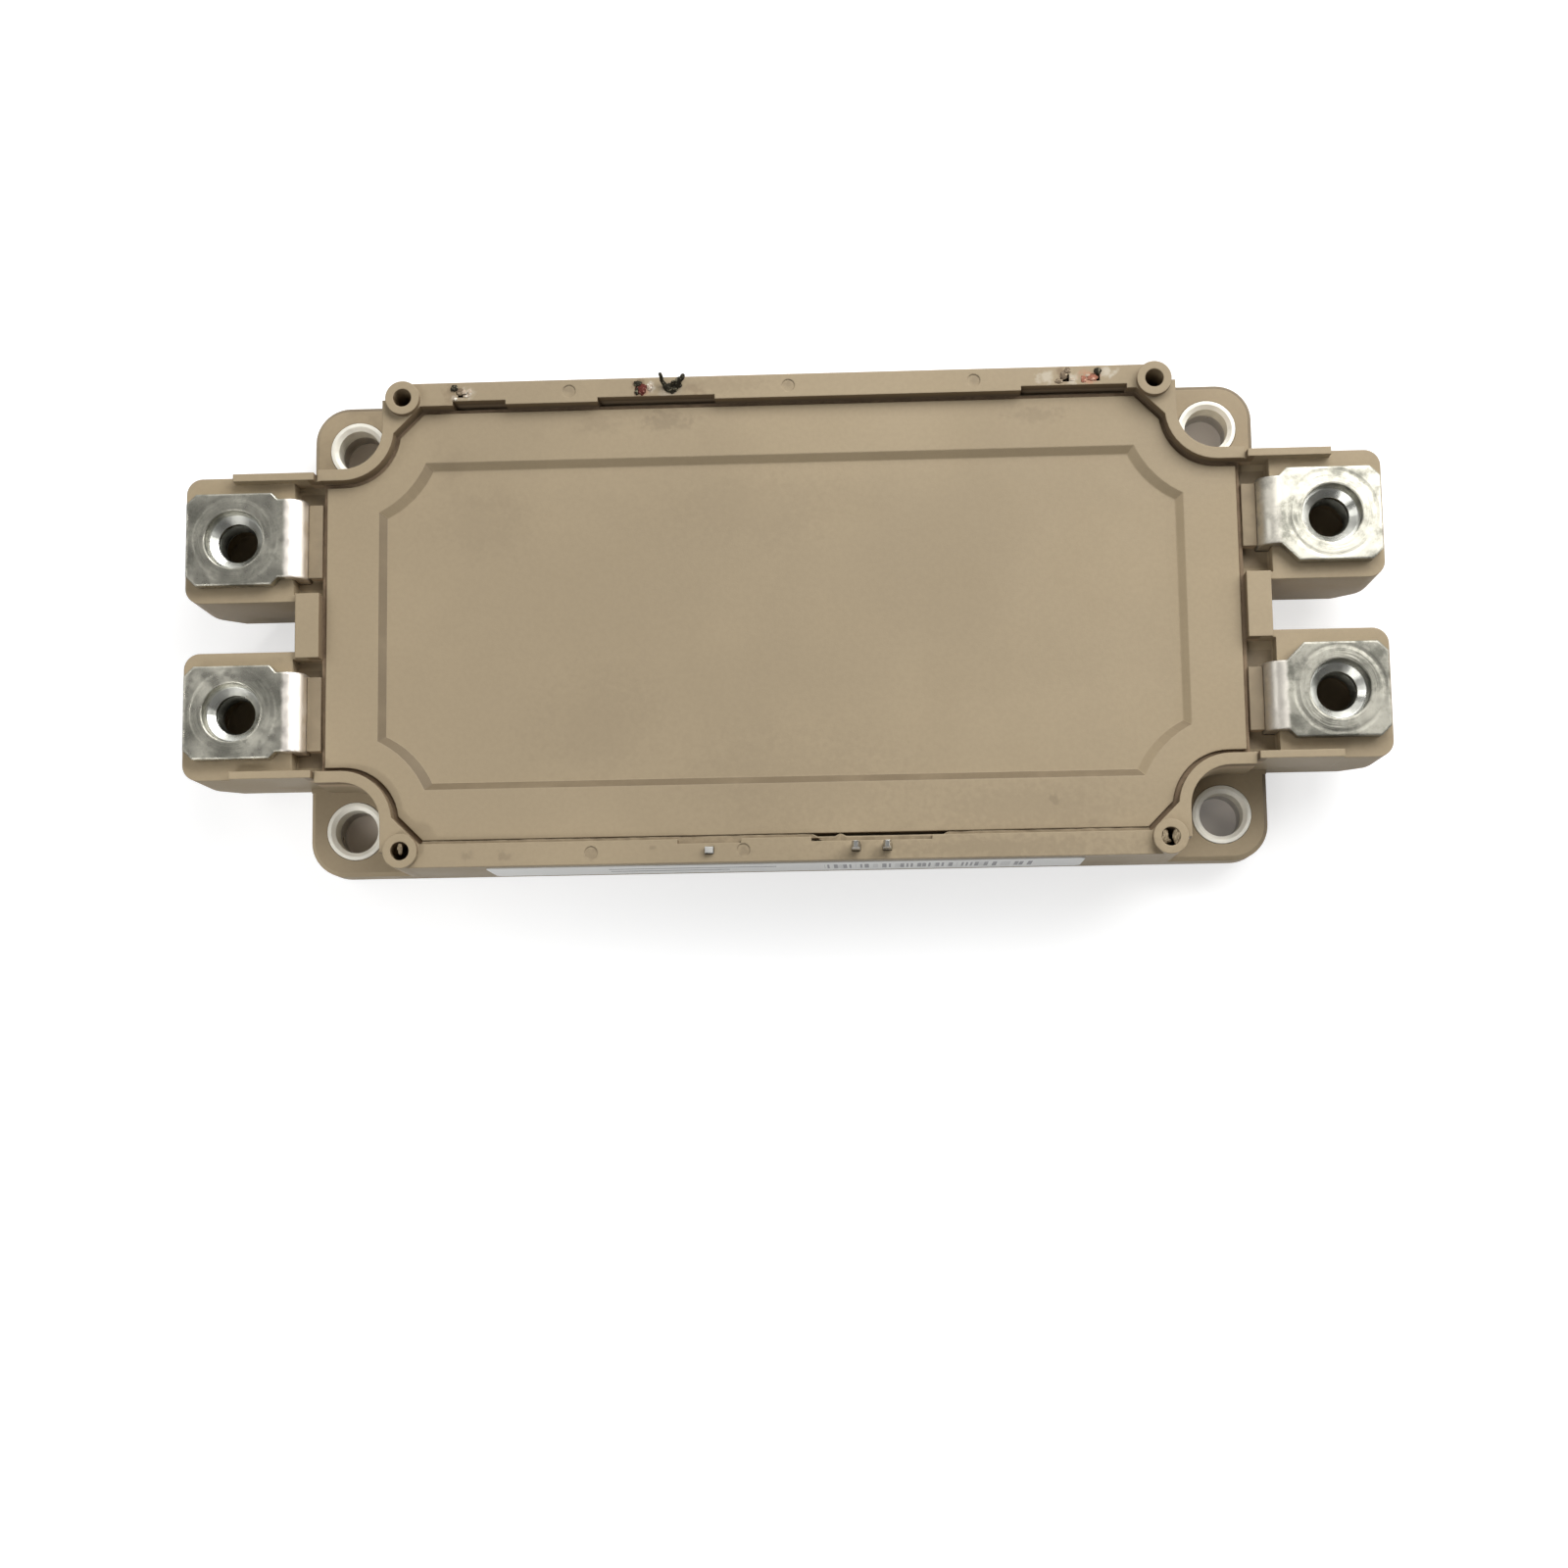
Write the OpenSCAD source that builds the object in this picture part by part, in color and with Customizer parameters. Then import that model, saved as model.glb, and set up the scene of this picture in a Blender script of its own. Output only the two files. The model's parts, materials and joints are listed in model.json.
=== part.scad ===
// Half-bridge power semiconductor module with screw terminals and solder pins.
// X runs along the module, Y across it (rear is +Y) and Z up. The origin is the centre
// of the base plate's underside. All sizes are in millimetres.

/* [Case] */
// Length of the moulded case over its flange
case_l = 121.6; // [118:0.2:130]
// Width of the moulded case
case_w = 61.6; // [60:0.2:70]
// Height of the case walls above the heat sink
case_top = 16; // [15.6:0.1:20]
// Height of the corner flange's upper face
flange_top = 6.2; // [5:0.1:7]
// Plan radius of the flange's four corners
flange_r = 4.5; // [2:0.5:5]
// Chamfer along the flange's upper edge
flange_edge = 0.5; // [0.2:0.1:0.8]
// Thickness of the two long side walls
side_t = 2.95; // [2.8:0.05:3.2]
// Thickness of the two end walls
end_t = 3; // [2.8:0.1:3.2]
// Radius of the wall's inner face round a mounting hole
corner_r = 6.5; // [6.1:0.1:6.8]
// Thickness of the wall that curves round a mounting hole
corner_t = 1.45; // [1:0.05:1.6]
// Length of the flat between the curved wall and the side wall
corner_flat = 8.4; // [8:0.1:9]
// Width of the ledge that carries the lid
ledge_w = 1.2; // [0.8:0.1:1.3]
// How far the case laps down over the edge of the base plate
case_lap = 1; // [0.5:0.1:1.5]

/* [Base plate] */
// Gap between the plate's edge and the rim of the case
plate_gap = 0.2; // [0.1:0.05:0.3]
// Thickness of the case rim beside the plate
rim_t = 1.1; // [0.8:0.1:1.3]
// Thickness of the base plate
plate_t = 3; // [2.5:0.1:3.4]
// Plan radius of the plate's corners
plate_r = 2.5; // [1:0.5:4]
// Thickness of the adhesive between plate and case
glue_t = 0.2; // [0.1:0.05:0.3]
// Distance that the adhesive keeps from the plate's edge
glue_inset = 0.3; // [0.1:0.1:0.3]

/* [Mounting] */
// Distance from the case's edges to a mounting hole's centre
hole_edge = 5.8; // [5.6:0.1:6]
// Diameter of the mounting holes
hole_d = 5.5; // [5:0.1:5.6]
// Outer diameter of the steel bushes
bush_d = 7.4; // [7.2:0.1:7.8]
// Height by which the bushes stand above the flange
bush_proud = 0.1; // [0.05:0.05:0.3]
// Chamfer at the bushes' mouths
bush_chamfer = 0.5; // [0.2:0.1:0.7]
// Distance from the case's ends to a board post's centre
post_from_end = 13.55; // [13.45:0.05:13.7]
// Distance from the case's sides to a board post's centre
post_from_side = 2.05; // [2:0.05:2.1]
// Diameter of the board posts
post_d = 4.3; // [4.2:0.05:4.5]
// Diameter of the screw holes in the board posts
post_hole_d = 2.3; // [2:0.1:2.6]
// Depth of the screw holes in the board posts
post_hole_depth = 8; // [5:0.5:9]
// Height of the board posts above the walls
post_rise = 1; // [0.5:0.1:1.5]

/* [Terminals] */
// Distance from the case's end to a terminal screw's centre
term_from_end = 7.7; // [7.5:0.1:8]
// Distance between the two terminal screws of one end
term_pitch = 22; // [21.6:0.1:22.6]
// Distance from the case's end to the far face of a terminal block
block_l = 14.2; // [14:0.1:15]
// Distance from the screw to the block's side that faces the other block
block_in = 7.8; // [7.4:0.1:8]
// Distance from the screw to the block's outer side
block_out = 8.3; // [8.1:0.1:8.5]
// Plan radius of the block's far corners
block_r = 2; // [1:0.5:3]
// Height of the block's underside
block_bottom = 2.2; // [2:0.1:3]
// Length of the slope under the block's far end
block_slope_l = 4.4; // [3:0.1:5]
// Height of the slope under the block's far end
block_slope_h = 4.9; // [3:0.1:5.5]
// Thickness of the terminal sheet
tab_t = 1.5; // [1.2:0.1:1.6]
// Height of the terminal's upper face above the walls
tab_rise = 1; // [0.8:0.1:1.2]
// Length of the terminal from its free end to the neck's bend
tab_l = 12.6; // [12.2:0.1:12.9]
// Width of the terminal
tab_w = 11.7; // [11.4:0.1:12]
// Distance from the screw's centre to the terminal's free end
tab_reach = 6; // [5.8:0.1:6.3]
// Chamfer at the terminal's free corners
tab_chamfer = 1.2; // [0.5:0.1:1.5]
// Diameter of the screw hole in the terminal
tab_hole_d = 7.4; // [6.6:0.1:7.6]
// Width of the terminal's neck at the supply end
supply_neck_w = 10; // [9:0.1:10.8]
// Step from the terminal's outer edge in to the supply neck
supply_neck_step = 0.8; // [0.3:0.1:1]
// Length of the supply neck's flat part before its bend
supply_neck_l = 1; // [0.5:0.1:1.5]
// Length of the slanted edges that widen the supply neck to the terminal
supply_flare = 0.8; // [0.4:0.1:1.2]
// Width of the terminal's neck at the phase end
phase_neck_w = 8.5; // [8:0.1:9.5]
// Step from the terminal's outer edge in to the phase neck
phase_neck_step = 1; // [0.6:0.1:1.2]
// Length of the phase neck's flat part before its bend
phase_neck_l = 0.2; // [0.1:0.1:0.6]
// Length of the slanted edge that widens the phase neck to the terminal
phase_flare = 2.2; // [1.6:0.1:2.6]
// Outer radius of the neck's bend
bend_r = 2.3; // [2:0.1:2.6]
// Inner radius of the small bends inside the case
small_bend_r = 0.8; // [0.6:0.1:1]
// Gap round the metal where it runs through the moulding
insert_gap = 0.05; // [0.03:0.01:0.08]
// Width across flats of the terminal nut
nut_af = 10; // [9.6:0.1:10.2]
// Thickness of the terminal nut
nut_h = 5; // [4:0.1:5.2]
// Tapping diameter of the terminal nut
nut_bore_d = 5; // [4.6:0.1:5.4]
// Depth of the countersink at the nut's mouth
nut_sink = 0.9; // [0.5:0.1:1]
// Gap on each side of the nut in its pocket
nut_gap = 0.1; // [0.05:0.05:0.2]
// Height by which the nut stands above the block
nut_proud = 0.3; // [0.1:0.1:0.4]
// Depth of the well below the nut for the screw's end
well_depth = 5; // [3:0.5:5.5]
// Diameter of the well below the nut
well_d = 7; // [6:0.5:8]
// Height of the rib on the block's outer side above the walls
rib_rise = 0.9; // [0.5:0.1:1.2]
// Length of the rib on the block's outer side
rib_l = 10.25; // [8:0.25:11]
// Thickness of the rib on the block's outer side
rib_t = 0.95; // [0.8:0.05:1.2]
// How far the rib stands out from the block's side
rib_proud = 0.1; // [0.05:0.05:0.3]
// How far behind the end wall's outer face the rib starts
rib_back = 2.35; // [2:0.05:2.6]
// Depth of the notch that lets the neck out over the end wall
notch_depth = 1.6; // [1.2:0.1:1.6]
// Depth below the notch of the pockets beside the neck
pocket_depth = 1.9; // [1:0.1:1.9]
// How far the notch and the pockets run out past the end wall
pocket_past = 0.4; // [0.2:0.1:0.6]
// Wall between the inner pocket and the block's inner side
pocket_wall = 0.9; // [0.6:0.1:1.2]
// How far the pockets reach in under the neck's edges
pocket_under = 0.3; // [0.2:0.1:0.5]
// Width of the seam at the rib's inner end
seam_w = 0.25; // [0.2:0.05:0.4]
// Depth of the seam at the rib's inner end
seam_depth = 0.4; // [0.2:0.05:0.6]

/* [Busbars] */
// Height of the busbar arms' underside
arm_z = 8; // [7.6:0.1:8.3]
// Distance from the ledge that carries the lid to where a busbar turns down
drop_gap = 6.4; // [6:0.1:6.8]
// Length of a busbar's soldered foot
foot_l = 3.7; // [3.2:0.1:4]
// Width of the positive busbar's foot
plus_foot_w = 6; // [4:0.5:8]
// Width of the negative busbar's foot
minus_foot_w = 5; // [3:0.5:5.5]
// Width of each phase busbar's foot
phase_foot_w = 4; // [3:0.5:4.5]
// Distance between the two phase feet's centres
phase_foot_pitch = 5; // [4.8:0.1:6]

/* [Lid] */
// Depth of the lid's face below the top of the walls
lid_recess = 1.6; // [1.2:0.1:2]
// Thickness of the lid
lid_t = 2; // [1.6:0.1:2.4]
// Gap between the lid and the walls
lid_gap = 0.6; // [0.3:0.05:0.7]
// Length of the sunken panel at its floor
panel_l = 99.4; // [96:0.2:100]
// Width of the sunken panel at its floor
panel_w = 40; // [36:0.5:42]
// Depth of the sunken panel
panel_depth = 0.9; // [0.4:0.1:1.2]
// Width of the sloped border round the panel
panel_slope = 0.9; // [0.4:0.1:1.2]
// Radius of the panel's cut corners, round the mounting holes
panel_corner_r = 12.2; // [11:0.1:13]

/* [Control pins] */
// Distance from the case's side to the row of pins
pin_inset = 1.5; // [1.4:0.05:1.6]
// Place along the case of the single rear pin
single_rear_x = -39.8; // [-41:0.1:-38]
// Place along the case of the middle rear pair's right pin
middle_rear_x = -13.3; // [-15:0.1:-11]
// Place along the case of the end rear pair's left pin
end_rear_x = 36.2; // [34:0.1:36.6]
// Place along the case of the single front pin
single_front_x = -9.1; // [-11:0.1:-7]
// Place along the case of the front pair's left pin
pair_front_x = 8.95; // [7:0.05:11]
// Width of a pin along the case
pin_w = 1; // [0.8:0.05:1.2]
// Thickness of a pin across the case
pin_t = 0.8; // [0.6:0.05:0.9]
// Height of a whole pin above the walls
pin_rise = 4.5; // [3:0.1:6]
// Height of a broken pin above the walls
stub_rise = 0.8; // [0.4:0.1:1.5]
// Length of a whole pin's tapered tip
pin_point = 0.8; // [0.4:0.1:1.2]
// Length of a pin's foot
pin_foot_l = 4.2; // [3.8:0.1:4.6]
// Distance between the two pins of a pair
pin_pitch = 3.81; // [3.5:0.01:4]
// Height of the shelf that carries the pins' feet
shelf_top = 7.5; // [6.5:0.1:8]
// Width of the shelf inside the wall
shelf_w = 2.2; // [1.8:0.1:2.4]
// How far the shelves stop short of the board posts
shelf_short = 4; // [3:0.5:6]
// Depth of the relief in the wall's inner edge beside the pins
relief_t = 0.55; // [0.3:0.05:0.6]
// How far a relief runs past a pin on its longer side
relief_long = 5.5; // [4:0.1:6.2]
// How far a relief runs past a pin on its shorter side
relief_short = 3.9; // [3:0.1:4.5]
// How far the single rear pin's relief runs past it towards the end
relief_end = 1.2; // [0.8:0.1:2]
// Diameter of the marks that the mould's ejectors leave
ejector_d = 1.6; // [1:0.1:2]
// Depth of the ejector marks
ejector_depth = 0.1; // [0.05:0.05:0.3]
// Places of the ejector marks along the rear wall
ejectors_rear = [-26.2, 1.5, 24.8]; // [-30:0.1:30]
// Places of the ejector marks along the front wall
ejectors_front = [-23.7, -4.9]; // [-30:0.1:30]

/* [Substrates and chips] */
// Distance from the lid's ledge at a case end to the nearest substrate
sub_margin = 7.3; // [7:0.1:8]
// Gap between neighbouring substrates
sub_gap = 1.6; // [1.2:0.1:2]
// Thickness of the solder under a substrate
solder_t = 0.2; // [0.1:0.05:0.3]
// Thickness of each copper layer of a substrate
copper_t = 0.3; // [0.2:0.05:0.4]
// Thickness of the ceramic
ceramic_t = 0.4; // [0.3:0.05:0.6]
// Width of the bare ceramic edge
ceramic_edge = 0.6; // [0.4:0.1:0.8]
// Width of a track that carries chips
chip_track_w = 10.2; // [10:0.1:10.6]
// Width of the strip on the phase track where the upper chips' wires land
landing_w = 2.6; // [2:0.1:3]
// Width of the negative supply track
minus_track_w = 6; // [5.4:0.1:6.2]
// Width of a signal track
signal_track_w = 1; // [0.8:0.1:1.1]
// Gap between two tracks
track_gap = 0.7; // [0.5:0.1:0.8]
// Side of a switch chip
igbt_side = 9.5; // [8:0.1:9.8]
// Side of a diode chip
diode_side = 8.5; // [7:0.1:8.8]
// Thickness of a chip with its solder
chip_t = 0.3; // [0.2:0.05:0.4]
// Gap between a switch chip and its diode chip
chip_gap = 2; // [1.5:0.1:2.5]
// Diameter of a power bond wire
power_wire_d = 0.4; // [0.3:0.05:0.5]
// Diameter of a signal bond wire
signal_wire_d = 0.3; // [0.2:0.05:0.4]
// Bend radius of a power bond wire
power_wire_r = 1.4; // [1.1:0.1:1.6]
// Bend radius of a signal bond wire
signal_wire_r = 0.7; // [0.5:0.1:0.8]
// Number of power bond wires side by side
wires_abreast = 4; // [3:1:5]
// Distance between neighbouring power bond wires
wire_step = 1.6; // [1.2:0.1:1.7]
// Distance between the wires that run side by side off a diode
close_step = 1.1; // [0.8:0.1:1.2]
// Distance from a chip's or a track's edge to a bond on it
bond_edge = 0.7; // [0.6:0.05:0.9]
// Distance along a switch chip from its centre to a signal bond
signal_bond_x = 2; // [1:0.1:2.6]
// Distance from a pin wire's landing to the end of its track, at a substrate's end
landing_edge = 2.2; // [1.6:0.1:3]
// Distance from the thermistor's middle to the end of its track
thermistor_edge = 4.3; // [3:0.1:5]
// Length of the thermistor along the module
thermistor_l = 1.6; // [1:0.1:2]
// Height of the thermistor
thermistor_h = 1; // [0.6:0.1:1.2]
// Thickness of the gel's closed top layer
gel_t = 1.4; // [1:0.1:1.5]
// Air space between the gel and the lid
gel_air = 1.1; // [0.8:0.1:1.2]

/* [Label] */
// Length of the label on the front wall
label_l = 74.2; // [60:0.5:80]
// Height of the label
label_h = 9.8; // [6:0.2:10.4]
// Height of the label's centre above the heat sink
label_z = 9.2; // [8.8:0.1:9.6]
// Thickness of the label
label_t = 0.12; // [0.08:0.02:0.18]
// Corner radius of the label
label_r = 1; // [0.5:0.5:2]

/* [Hidden] */
$fn = 64;
// longer than any cut needs to be
far = 40;
// overlap that lets a cut leave a face cleanly
cut = 1;

plate_l = case_l - 2 * (rim_t + plate_gap);
plate_w = case_w - 2 * (rim_t + plate_gap);
case_bottom = plate_t - case_lap;
case_seat = plate_t + glue_t;

end_x = case_l / 2;
side_y = case_w / 2;
hole_x = end_x - hole_edge;
hole_y = side_y - hole_edge;
bush_hole_d = bush_d + 2 * insert_gap;
post_x = end_x - post_from_end;
post_y = side_y - post_from_side;
post_top = case_top + post_rise;

lid_top = case_top - lid_recess;
lid_seat = lid_top - lid_t;
gel_top = lid_seat - gel_air;

term_x = end_x + term_from_end;
term_y = term_pitch / 2;
tab_in = term_y - tab_w / 2;
tab_out = term_y + tab_w / 2;
tab_top = case_top + tab_rise;
tab_under = tab_top - tab_t;
tab_end = term_x + tab_reach;
bend_x = tab_end - tab_l;
leg_x = bend_x - bend_r;

block_top = tab_under - nut_proud;
block_y0 = term_y - block_in;
block_y1 = term_y + block_out;
rib_x0 = end_x - rib_back;
rib_y0 = block_y1 + rib_proud - rib_t;
notch_floor = case_top - notch_depth;
pocket_end = end_x + pocket_past;
pocket_y0 = block_y0 + pocket_wall;
// plan width of the nut pocket's hexagon over its corners
nut_hole_d = (nut_af + 2 * nut_gap) / cos(30);

// where a busbar turns down towards its substrate
drop_x = end_x - end_t - ledge_w - drop_gap;
// where the arm's level part starts, past its bend
arm_x0 = drop_x + small_bend_r + tab_t;

pin_y = side_y - pin_inset;
pin_foot_y = pin_y - pin_foot_l;

circuit_top = plate_t + solder_t + 2 * copper_t + ceramic_t;
chip_top = circuit_top + chip_t;
// the tracks from the rear: gate, sense, positive, phase, negative, sense and gate
track_widths = [
    signal_track_w, signal_track_w, chip_track_w, chip_track_w + landing_w,
    minus_track_w, signal_track_w, signal_track_w
];
last_track = len(track_widths) - 1;
plus_track = 2;
phase_track = 3;
minus_track = 4;
// three substrates fill the case between its ledges, less the margins and the gaps
sub_l = (case_l - 2 * (end_t + ledge_w + sub_margin + sub_gap)) / 3;
sub_pitch = sub_l + sub_gap;
sub_w = 2 * ceramic_edge + track_offset(last_track) + signal_track_w;
track_l = sub_l - 2 * ceramic_edge;
// where a pin's wire lands near a track's end, from the substrate's middle
landing_x = track_l / 2 - landing_edge;
// a switch chip and its diode chip sit side by side about the middle of the track
igbt_x = -(chip_gap + diode_side) / 2;
diode_x = (igbt_side + chip_gap) / 2;

// every pin: place along the case, side (1 rear, -1 front), whether it is whole, and the
// substrate, the track and the place along the substrate where its wire lands
pins = [
    [single_rear_x, 1, false, 0, plus_track, -landing_x],
    [middle_rear_x - pin_pitch, 1, false, 0, 0, landing_x],
    [middle_rear_x, 1, false, 1, 1, -landing_x],
    [end_rear_x, 1, false, 2, 0, end_rear_x - sub_pitch],
    [end_rear_x + pin_pitch, 1, false, 2, 1, end_rear_x + pin_pitch - sub_pitch],
    [single_front_x, -1, false, 1, minus_track, single_front_x],
    [pair_front_x, -1, true, 1, last_track, pair_front_x],
    [pair_front_x + pin_pitch, -1, true, 1, last_track - 1, pair_front_x + pin_pitch]
];
// wall reliefs beside the pins: first end, last end and side
reliefs = [
    [single_rear_x - relief_end, single_rear_x + relief_long, 1],
    [middle_rear_x - pin_pitch - relief_long, middle_rear_x + relief_long, 1],
    [end_rear_x - relief_long, end_rear_x + pin_pitch + relief_short, 1],
    [single_front_x - relief_short, single_front_x + relief_short, -1],
    [pair_front_x - relief_long, pair_front_x + pin_pitch + relief_long, -1]
];
// marks left by the mould's ejectors: place along the case and side
ejector_marks = [
    [ejectors_rear[0], 1], [ejectors_rear[1], 1], [ejectors_rear[2], 1],
    [ejectors_front[0], -1], [ejectors_front[1], -1]
];

case_colour = "#a4927a";
metal_colour = "#c9cbc8";
copper_colour = "#b87446";
wire_colour = "#d8d9da";

// ---- plan outlines ----

// copies a child into the four quarters of the case
module quarters() {
    for (mx = [0, 1], my = [0, 1]) mirror([mx, 0, 0]) mirror([0, my, 0]) children();
}

module rounded_rect(l, w, r) {
    square([l - 2 * r, w], center = true);
    square([l, w - 2 * r], center = true);
    for (sx = [-1, 1], sy = [-1, 1]) translate([sx * (l / 2 - r), sy * (w / 2 - r)]) circle(r);
}

// everything nearer than r to a mounting hole, and the corner beyond it
module corner_zone(r) {
    translate([hole_x, hole_y]) {
        circle(r);
        translate([-r, 0]) square(far);
        translate([0, -r]) square(far);
    }
}

// outer face of the upper walls: they curve round the mounting holes and end at the posts
module wall_outline() {
    difference() {
        square([case_l, case_w], center = true);
        quarters() {
            corner_zone(corner_r - corner_t);
            translate([post_x, post_y]) square(far);
        }
    }
    quarters() translate([post_x, post_y]) circle(d = post_d);
}

// inner face of the walls, moved inwards by inset
module opening_outline(inset = 0) {
    difference() {
        square([case_l - 2 * (end_t + inset), case_w - 2 * (side_t + inset)], center = true);
        quarters() {
            corner_zone(corner_r + inset);
            translate([post_x, post_y]) rotate(45)
                translate([-post_d / 2 - inset, -corner_flat / 2]) square([far, corner_flat]);
        }
    }
}

// floor of the lid's sunken panel
module panel_outline() {
    difference() {
        square([panel_l, panel_w], center = true);
        quarters() translate([hole_x, hole_y]) circle(panel_corner_r);
    }
}

// ---- case ----

// the plate of plastic under the walls, with a chamfer along its upper edge
module flange() {
    h = flange_top - case_bottom - flange_edge;
    translate([0, 0, case_bottom]) linear_extrude(h) rounded_rect(case_l, case_w, flange_r);
    translate([0, 0, flange_top - flange_edge]) {
        rotate([90, 0, 0]) linear_extrude(case_w - 2 * flange_r, center = true)
            polygon([[-end_x, 0], [end_x, 0], [end_x - flange_edge, flange_edge],
                     [flange_edge - end_x, flange_edge]]);
        rotate([90, 0, 90]) linear_extrude(case_l - 2 * flange_r, center = true)
            polygon([[-side_y, 0], [side_y, 0], [side_y - flange_edge, flange_edge],
                     [flange_edge - side_y, flange_edge]]);
        quarters() translate([end_x - flange_r, side_y - flange_r, 0])
            cylinder(h = flange_edge, r1 = flange_r, r2 = flange_r - flange_edge);
    }
}

// one terminal block of the +X end, before it is mirrored to the other places
module terminal_block() {
    block_w = block_y1 - block_y0;
    block_x0 = end_x - end_t;
    block_x1 = end_x + block_l;
    // the plan's inner corners lie inside the end wall, so that only the far ones are round
    plan_l = block_x1 - block_x0 + block_r;
    intersection() {
        translate([block_x1 - plan_l / 2, block_y0 + block_w / 2, 0])
            linear_extrude(block_top) rounded_rect(plan_l, block_w, block_r);
        across(block_y0 - cut, block_y1 + cut)
            polygon([
                [block_x0, block_bottom], [block_x1 - block_slope_l, block_bottom],
                [block_x1, block_bottom + block_slope_h], [block_x1, block_top],
                [block_x0, block_top]
            ]);
    }
    // raised rib along the block's outer side
    translate([rib_x0, rib_y0, flange_top])
        cube([rib_l, rib_t, case_top + rib_rise - flange_top]);
}

// what is cut from a block and the end wall for one terminal: end is 1 at the phase end
module terminal_cuts(end) {
    inner_x = end_x - end_t;
    neck = neck_edges(end);
    // notch over the end wall
    translate([inner_x - cut, pocket_y0, notch_floor])
        cube([pocket_end - inner_x + cut, rib_y0 - pocket_y0, far]);
    // pockets beside the neck, open towards the lid
    for (y = [[pocket_y0, neck[0] + pocket_under], [neck[1] - pocket_under, rib_y0]])
        translate([inner_x - cut, y[0], notch_floor - pocket_depth])
            cube([pocket_end - inner_x + cut, y[1] - y[0], far]);
    // nut pocket and the well below it
    translate([term_x, term_y, tab_under - nut_h]) {
        cylinder(h = far, d = nut_hole_d, $fn = 6);
        translate([0, 0, -well_depth]) cylinder(h = far, d = well_d);
    }
    // seam down the curved wall and over its top
    translate([rib_x0 - seam_w, hole_y - corner_r + corner_t - seam_depth, flange_top])
        cube([seam_w, far, far]);
    translate([rib_x0 - seam_w, rib_y0, case_top - seam_depth])
        cube([seam_w, far, far]);
    // past the seam, the wall is as thin as the rib that carries it on
    translate([rib_x0 - seam_w, rib_y0 + rib_t, flange_top]) cube(far);
}

module case_body() {
    flange();
    translate([0, 0, flange_top - flange_edge])
        linear_extrude(case_top - flange_top + flange_edge) wall_outline();
    quarters() {
        translate([post_x, post_y, flange_top]) cylinder(h = post_top - flange_top, d = post_d);
        terminal_block();
    }
}

// shelves along the side walls that carry the pins' feet
module pin_shelves() {
    for (side = [-1, 1])
        translate([0, side * (side_y - side_t - (ledge_w + shelf_w) / 2), (case_seat + shelf_top) / 2])
            cube([2 * (post_x - shelf_short), ledge_w + shelf_w, shelf_top - case_seat], center = true);
}

module case_frame() {
    color(case_colour) difference() {
        union() {
            difference() {
                case_body();
                translate([0, 0, lid_seat]) linear_extrude(far) opening_outline();
                linear_extrude(far) opening_outline(ledge_w);
            }
            pin_shelves();
        }
        // rebate for the base plate and its adhesive
        translate([0, 0, case_bottom - cut]) linear_extrude(case_seat - case_bottom + cut)
            rounded_rect(plate_l + 2 * plate_gap, plate_w + 2 * plate_gap, plate_r + plate_gap);
        quarters() {
            translate([hole_x, hole_y, 0]) cylinder(h = far, d = bush_hole_d);
            translate([post_x, post_y, post_top - post_hole_depth])
                cylinder(h = far, d = post_hole_d);
        }
        for (end = [-1, 1], side = [-1, 1]) {
            at_terminal(end, side) terminal_cuts(end);
            busbar_riser(end, side, insert_gap);
        }
        for (p = pins) pin_solid(p, insert_gap);
        for (r = reliefs) {
            inner_y = side_y - side_t;
            translate([r[0], r[2] > 0 ? inner_y - cut : -inner_y - relief_t, lid_seat])
                cube([r[1] - r[0], relief_t + cut, far]);
        }
        for (m = ejector_marks)
            translate([m[0], m[1] * (side_y - side_t / 2), case_top - ejector_depth])
                cylinder(h = far, d = ejector_d);
    }
}

module lid() {
    color(case_colour) difference() {
        translate([0, 0, lid_seat]) linear_extrude(lid_t) opening_outline(lid_gap);
        translate([0, 0, lid_top - panel_depth])
            linear_extrude(panel_depth, slices = 1,
                           scale = [1 + 2 * panel_slope / panel_l, 1 + 2 * panel_slope / panel_w])
                panel_outline();
    }
}

// ---- metal parts ----

module base_plate() {
    color(metal_colour) difference() {
        linear_extrude(plate_t) rounded_rect(plate_l, plate_w, plate_r);
        quarters() translate([hole_x, hole_y, -cut]) cylinder(h = far, d = hole_d);
    }
}

module case_adhesive() {
    color("#e8e4da") translate([0, 0, plate_t]) linear_extrude(glue_t) difference() {
        rounded_rect(plate_l - 2 * glue_inset, plate_w - 2 * glue_inset, plate_r);
        opening_outline(ledge_w);
        quarters() translate([hole_x, hole_y]) circle(d = bush_d + glue_inset);
    }
}

module mounting_bushes() {
    top = flange_top + bush_proud;
    color(metal_colour) quarters() translate([hole_x, hole_y, 0]) rotate_extrude()
        polygon([
            [hole_d / 2, plate_t], [bush_d / 2, plate_t], [bush_d / 2, top],
            [hole_d / 2 + bush_chamfer, top], [hole_d / 2, top - bush_chamfer]
        ]);
}

module terminal_nuts() {
    color(metal_colour) quarters() translate([term_x, term_y, tab_under - nut_h]) difference() {
        cylinder(h = nut_h, d = nut_af / cos(30), $fn = 6);
        translate([0, 0, -cut]) cylinder(h = far, d = nut_bore_d);
        translate([0, 0, nut_h - nut_sink])
            cylinder(h = nut_sink, d1 = nut_bore_d, d2 = nut_bore_d + 2 * nut_sink);
    }
}

// ---- terminals and busbars ----

// sweeps an XZ outline from y0 to y1
module across(y0, y1) {
    translate([0, y1, 0]) rotate([90, 0, 0]) linear_extrude(y1 - y0) children();
}

// quarter ring of sheet in the XZ plane, with inner radius r and its centre at [x, z]
module bend(x, z, r, turn, grow) {
    translate([x, z]) rotate(turn) intersection() {
        difference() {
            circle(r + tab_t + grow);
            circle(r - grow);
        }
        square(far);
    }
}

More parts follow.
